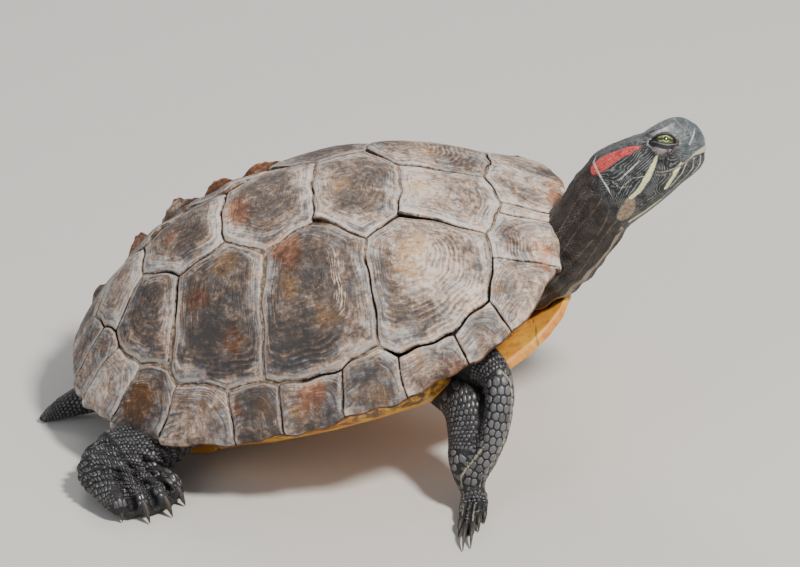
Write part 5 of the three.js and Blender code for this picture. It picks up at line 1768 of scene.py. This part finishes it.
# ---- plastron ----
plastron = {"thick": 4.5, "step": 1.3, "around": 150}
plastronStations = [  # x, half-widths of the flat and of the edge, rise of the edge and of the middle
    (105, 6, 10, 2.4, 3), (101, 15, 20, 1.5, 2.4), (94, 23, 28, 1, 1.2), (86, 30, 35, 1, 0),
    (75, 38, 43.5, 1, 0), (63, 43, 49, 1.5, 0), (50, 46, 62, 17, 0), (40, 47, 69, 18.5, 0),
    (20, 48, 71, 18.5, 0), (0, 48, 71, 18.5, 0), (-28, 46, 67, 18.5, 0), (-44, 43, 58, 17, 0),
    (-57, 40.5, 46, 2, 0), (-70, 37, 42, 1.5, 1), (-88, 26, 30, 1.5, 3), (-97, 12, 15, 2, 5)]
# x at the midline, and how far the seam has moved 40 mm out
bellySeams = [(86, 4), (60, -5), (33, 3), (-22, -4), (-62, 7)]
bellyBlots = [  # x, y, half-sizes
    (94, 9, 6, 5), (72, 20, 9, 9), (46, 27, 9, 11), (8, 29, 15, 12), (-40, 26, 11, 10), (-76, 16, 9, 8)]


def plastronLoop(flat, edge, rise, lift):  # y and z round the plate at one place along it
    low = shell["belly"] + lift
    high = low + plastron["thick"]
    half = np.array([
        (flat * 0.05, low), (flat * 0.5, low), (flat, low), (flat + (edge - flat) * 0.7, low + rise * 0.55),
        (edge, low + rise), (edge - 1.5, high + rise - 1.5),
        (flat + (edge - flat) * 0.4 - 1, high + rise * 0.35), (flat * 0.6, high), (flat * 0.05, high)])
    loop = curveThrough(np.vstack([half, half[::-1] * [-1, 1], half[:1]]), plastron["around"])
    loop[-1] = loop[0]
    return loop


def makePlastron():
    knots = np.array(plastronStations, dtype=float)
    xs = np.concatenate([np.linspace(a, b, 1 + max(2, round(abs(a - b) / plastron["step"])), endpoint=False)
                         for a, b in zip(knots[:-1, 0], knots[1:, 0])] + [[knots[-1, 0]]])
    table = [np.interp(-xs, -knots[:, 0], knots[:, i]) for i in range(1, 5)]
    rows = np.stack([np.insert(plastronLoop(*sizes), 0, x, axis=1) for x, *sizes in zip(xs, *table)])
    x, y, z = rows[..., 0], rows[..., 1], rows[..., 2]
    seam = np.min([np.abs(y), *(np.abs(x - place - slant * np.abs(y) / 40 - 0.8 * np.sin(y * 0.2))
                                for place, slant in bellySeams)], axis=0)
    under = z < np.interp(-x, -xs, shell["belly"] + table[3] + 3.0) + np.maximum(np.abs(y) - 40, 0)
    dip = 0.18 * softNoise(rows, 15, 41) + 0.06 * softNoise(rows, 3, 42) - 0.55 * bell(seam, 0.55)
    z -= np.where(under & (z > -30.9), dip, 0)
    rows, seam = pointed(rows), np.concatenate([seam[:1], seam, seam[-1:]])
    x, y, z = rows[..., 0], rows[..., 1], rows[..., 2]
    # darker towards the top of the bridge, under the rim of the marginals
    bridges = 0.55 * ease(z, -25, -17) * (np.abs(x) < 56)
    blot = np.max([bridges, *(fading(x, np.abs(y), *spot) for spot in bellyBlots)], axis=0)
    points = fromShell(rows)
    points[..., 2] = np.maximum(points[..., 2], 0)  # flat where it rests
    return gridSheet(points, None, {"seam": np.minimum(seam, 9), "blot": blot})


def paintPlastron():
    p = Paint("plastronHorn")
    place = p.place()
    broad, blotch = p.grain(place, 60, 4, 0.6), p.grain(place, 220, 4, 0.65)
    speck = p.grain(place, 1100, 3, 0.6)
    dark = p.step(p.value("blot") + blotch.sway(1.1) + speck.sway(0.4), 0.42, 0.66)
    colour = p.layers(
        (0.78, 0.40, 0.045), (p.step(broad, 0.40, 0.62), (0.66, 0.25, 0.035)),
        (p.step(blotch, 0.52, 0.66) * 0.5, (0.42, 0.11, 0.025)), (dark * 0.85, (0.060, 0.035, 0.022)),
        ((1 - p.step(p.value("seam") + speck.sway(0.5), 0.1, 0.8)) * 0.8, (0.10, 0.05, 0.025)))
    return p.finish(colour, 0.36 + speck * 0.25, p.bump(speck * 0.4 + blotch * 0.6, 0.4, 0.0005), IOR=1.5)


addPiece(makePlastron(), "plastron_horn", paintPlastron(), ["plastron"])
print("plastron made")

# ---- floor ----
def makeFloor():
    bm = bmesh.new()
    bmesh.ops.create_grid(bm, x_segments=1, y_segments=1, size=studio["floorHalf"])
    mesh = asMesh(bm, "floor")
    mesh.materials.append(Paint("paleFloor").finish(studio["floor"], 0.8))
    linked("floor", mesh)


makeFloor()
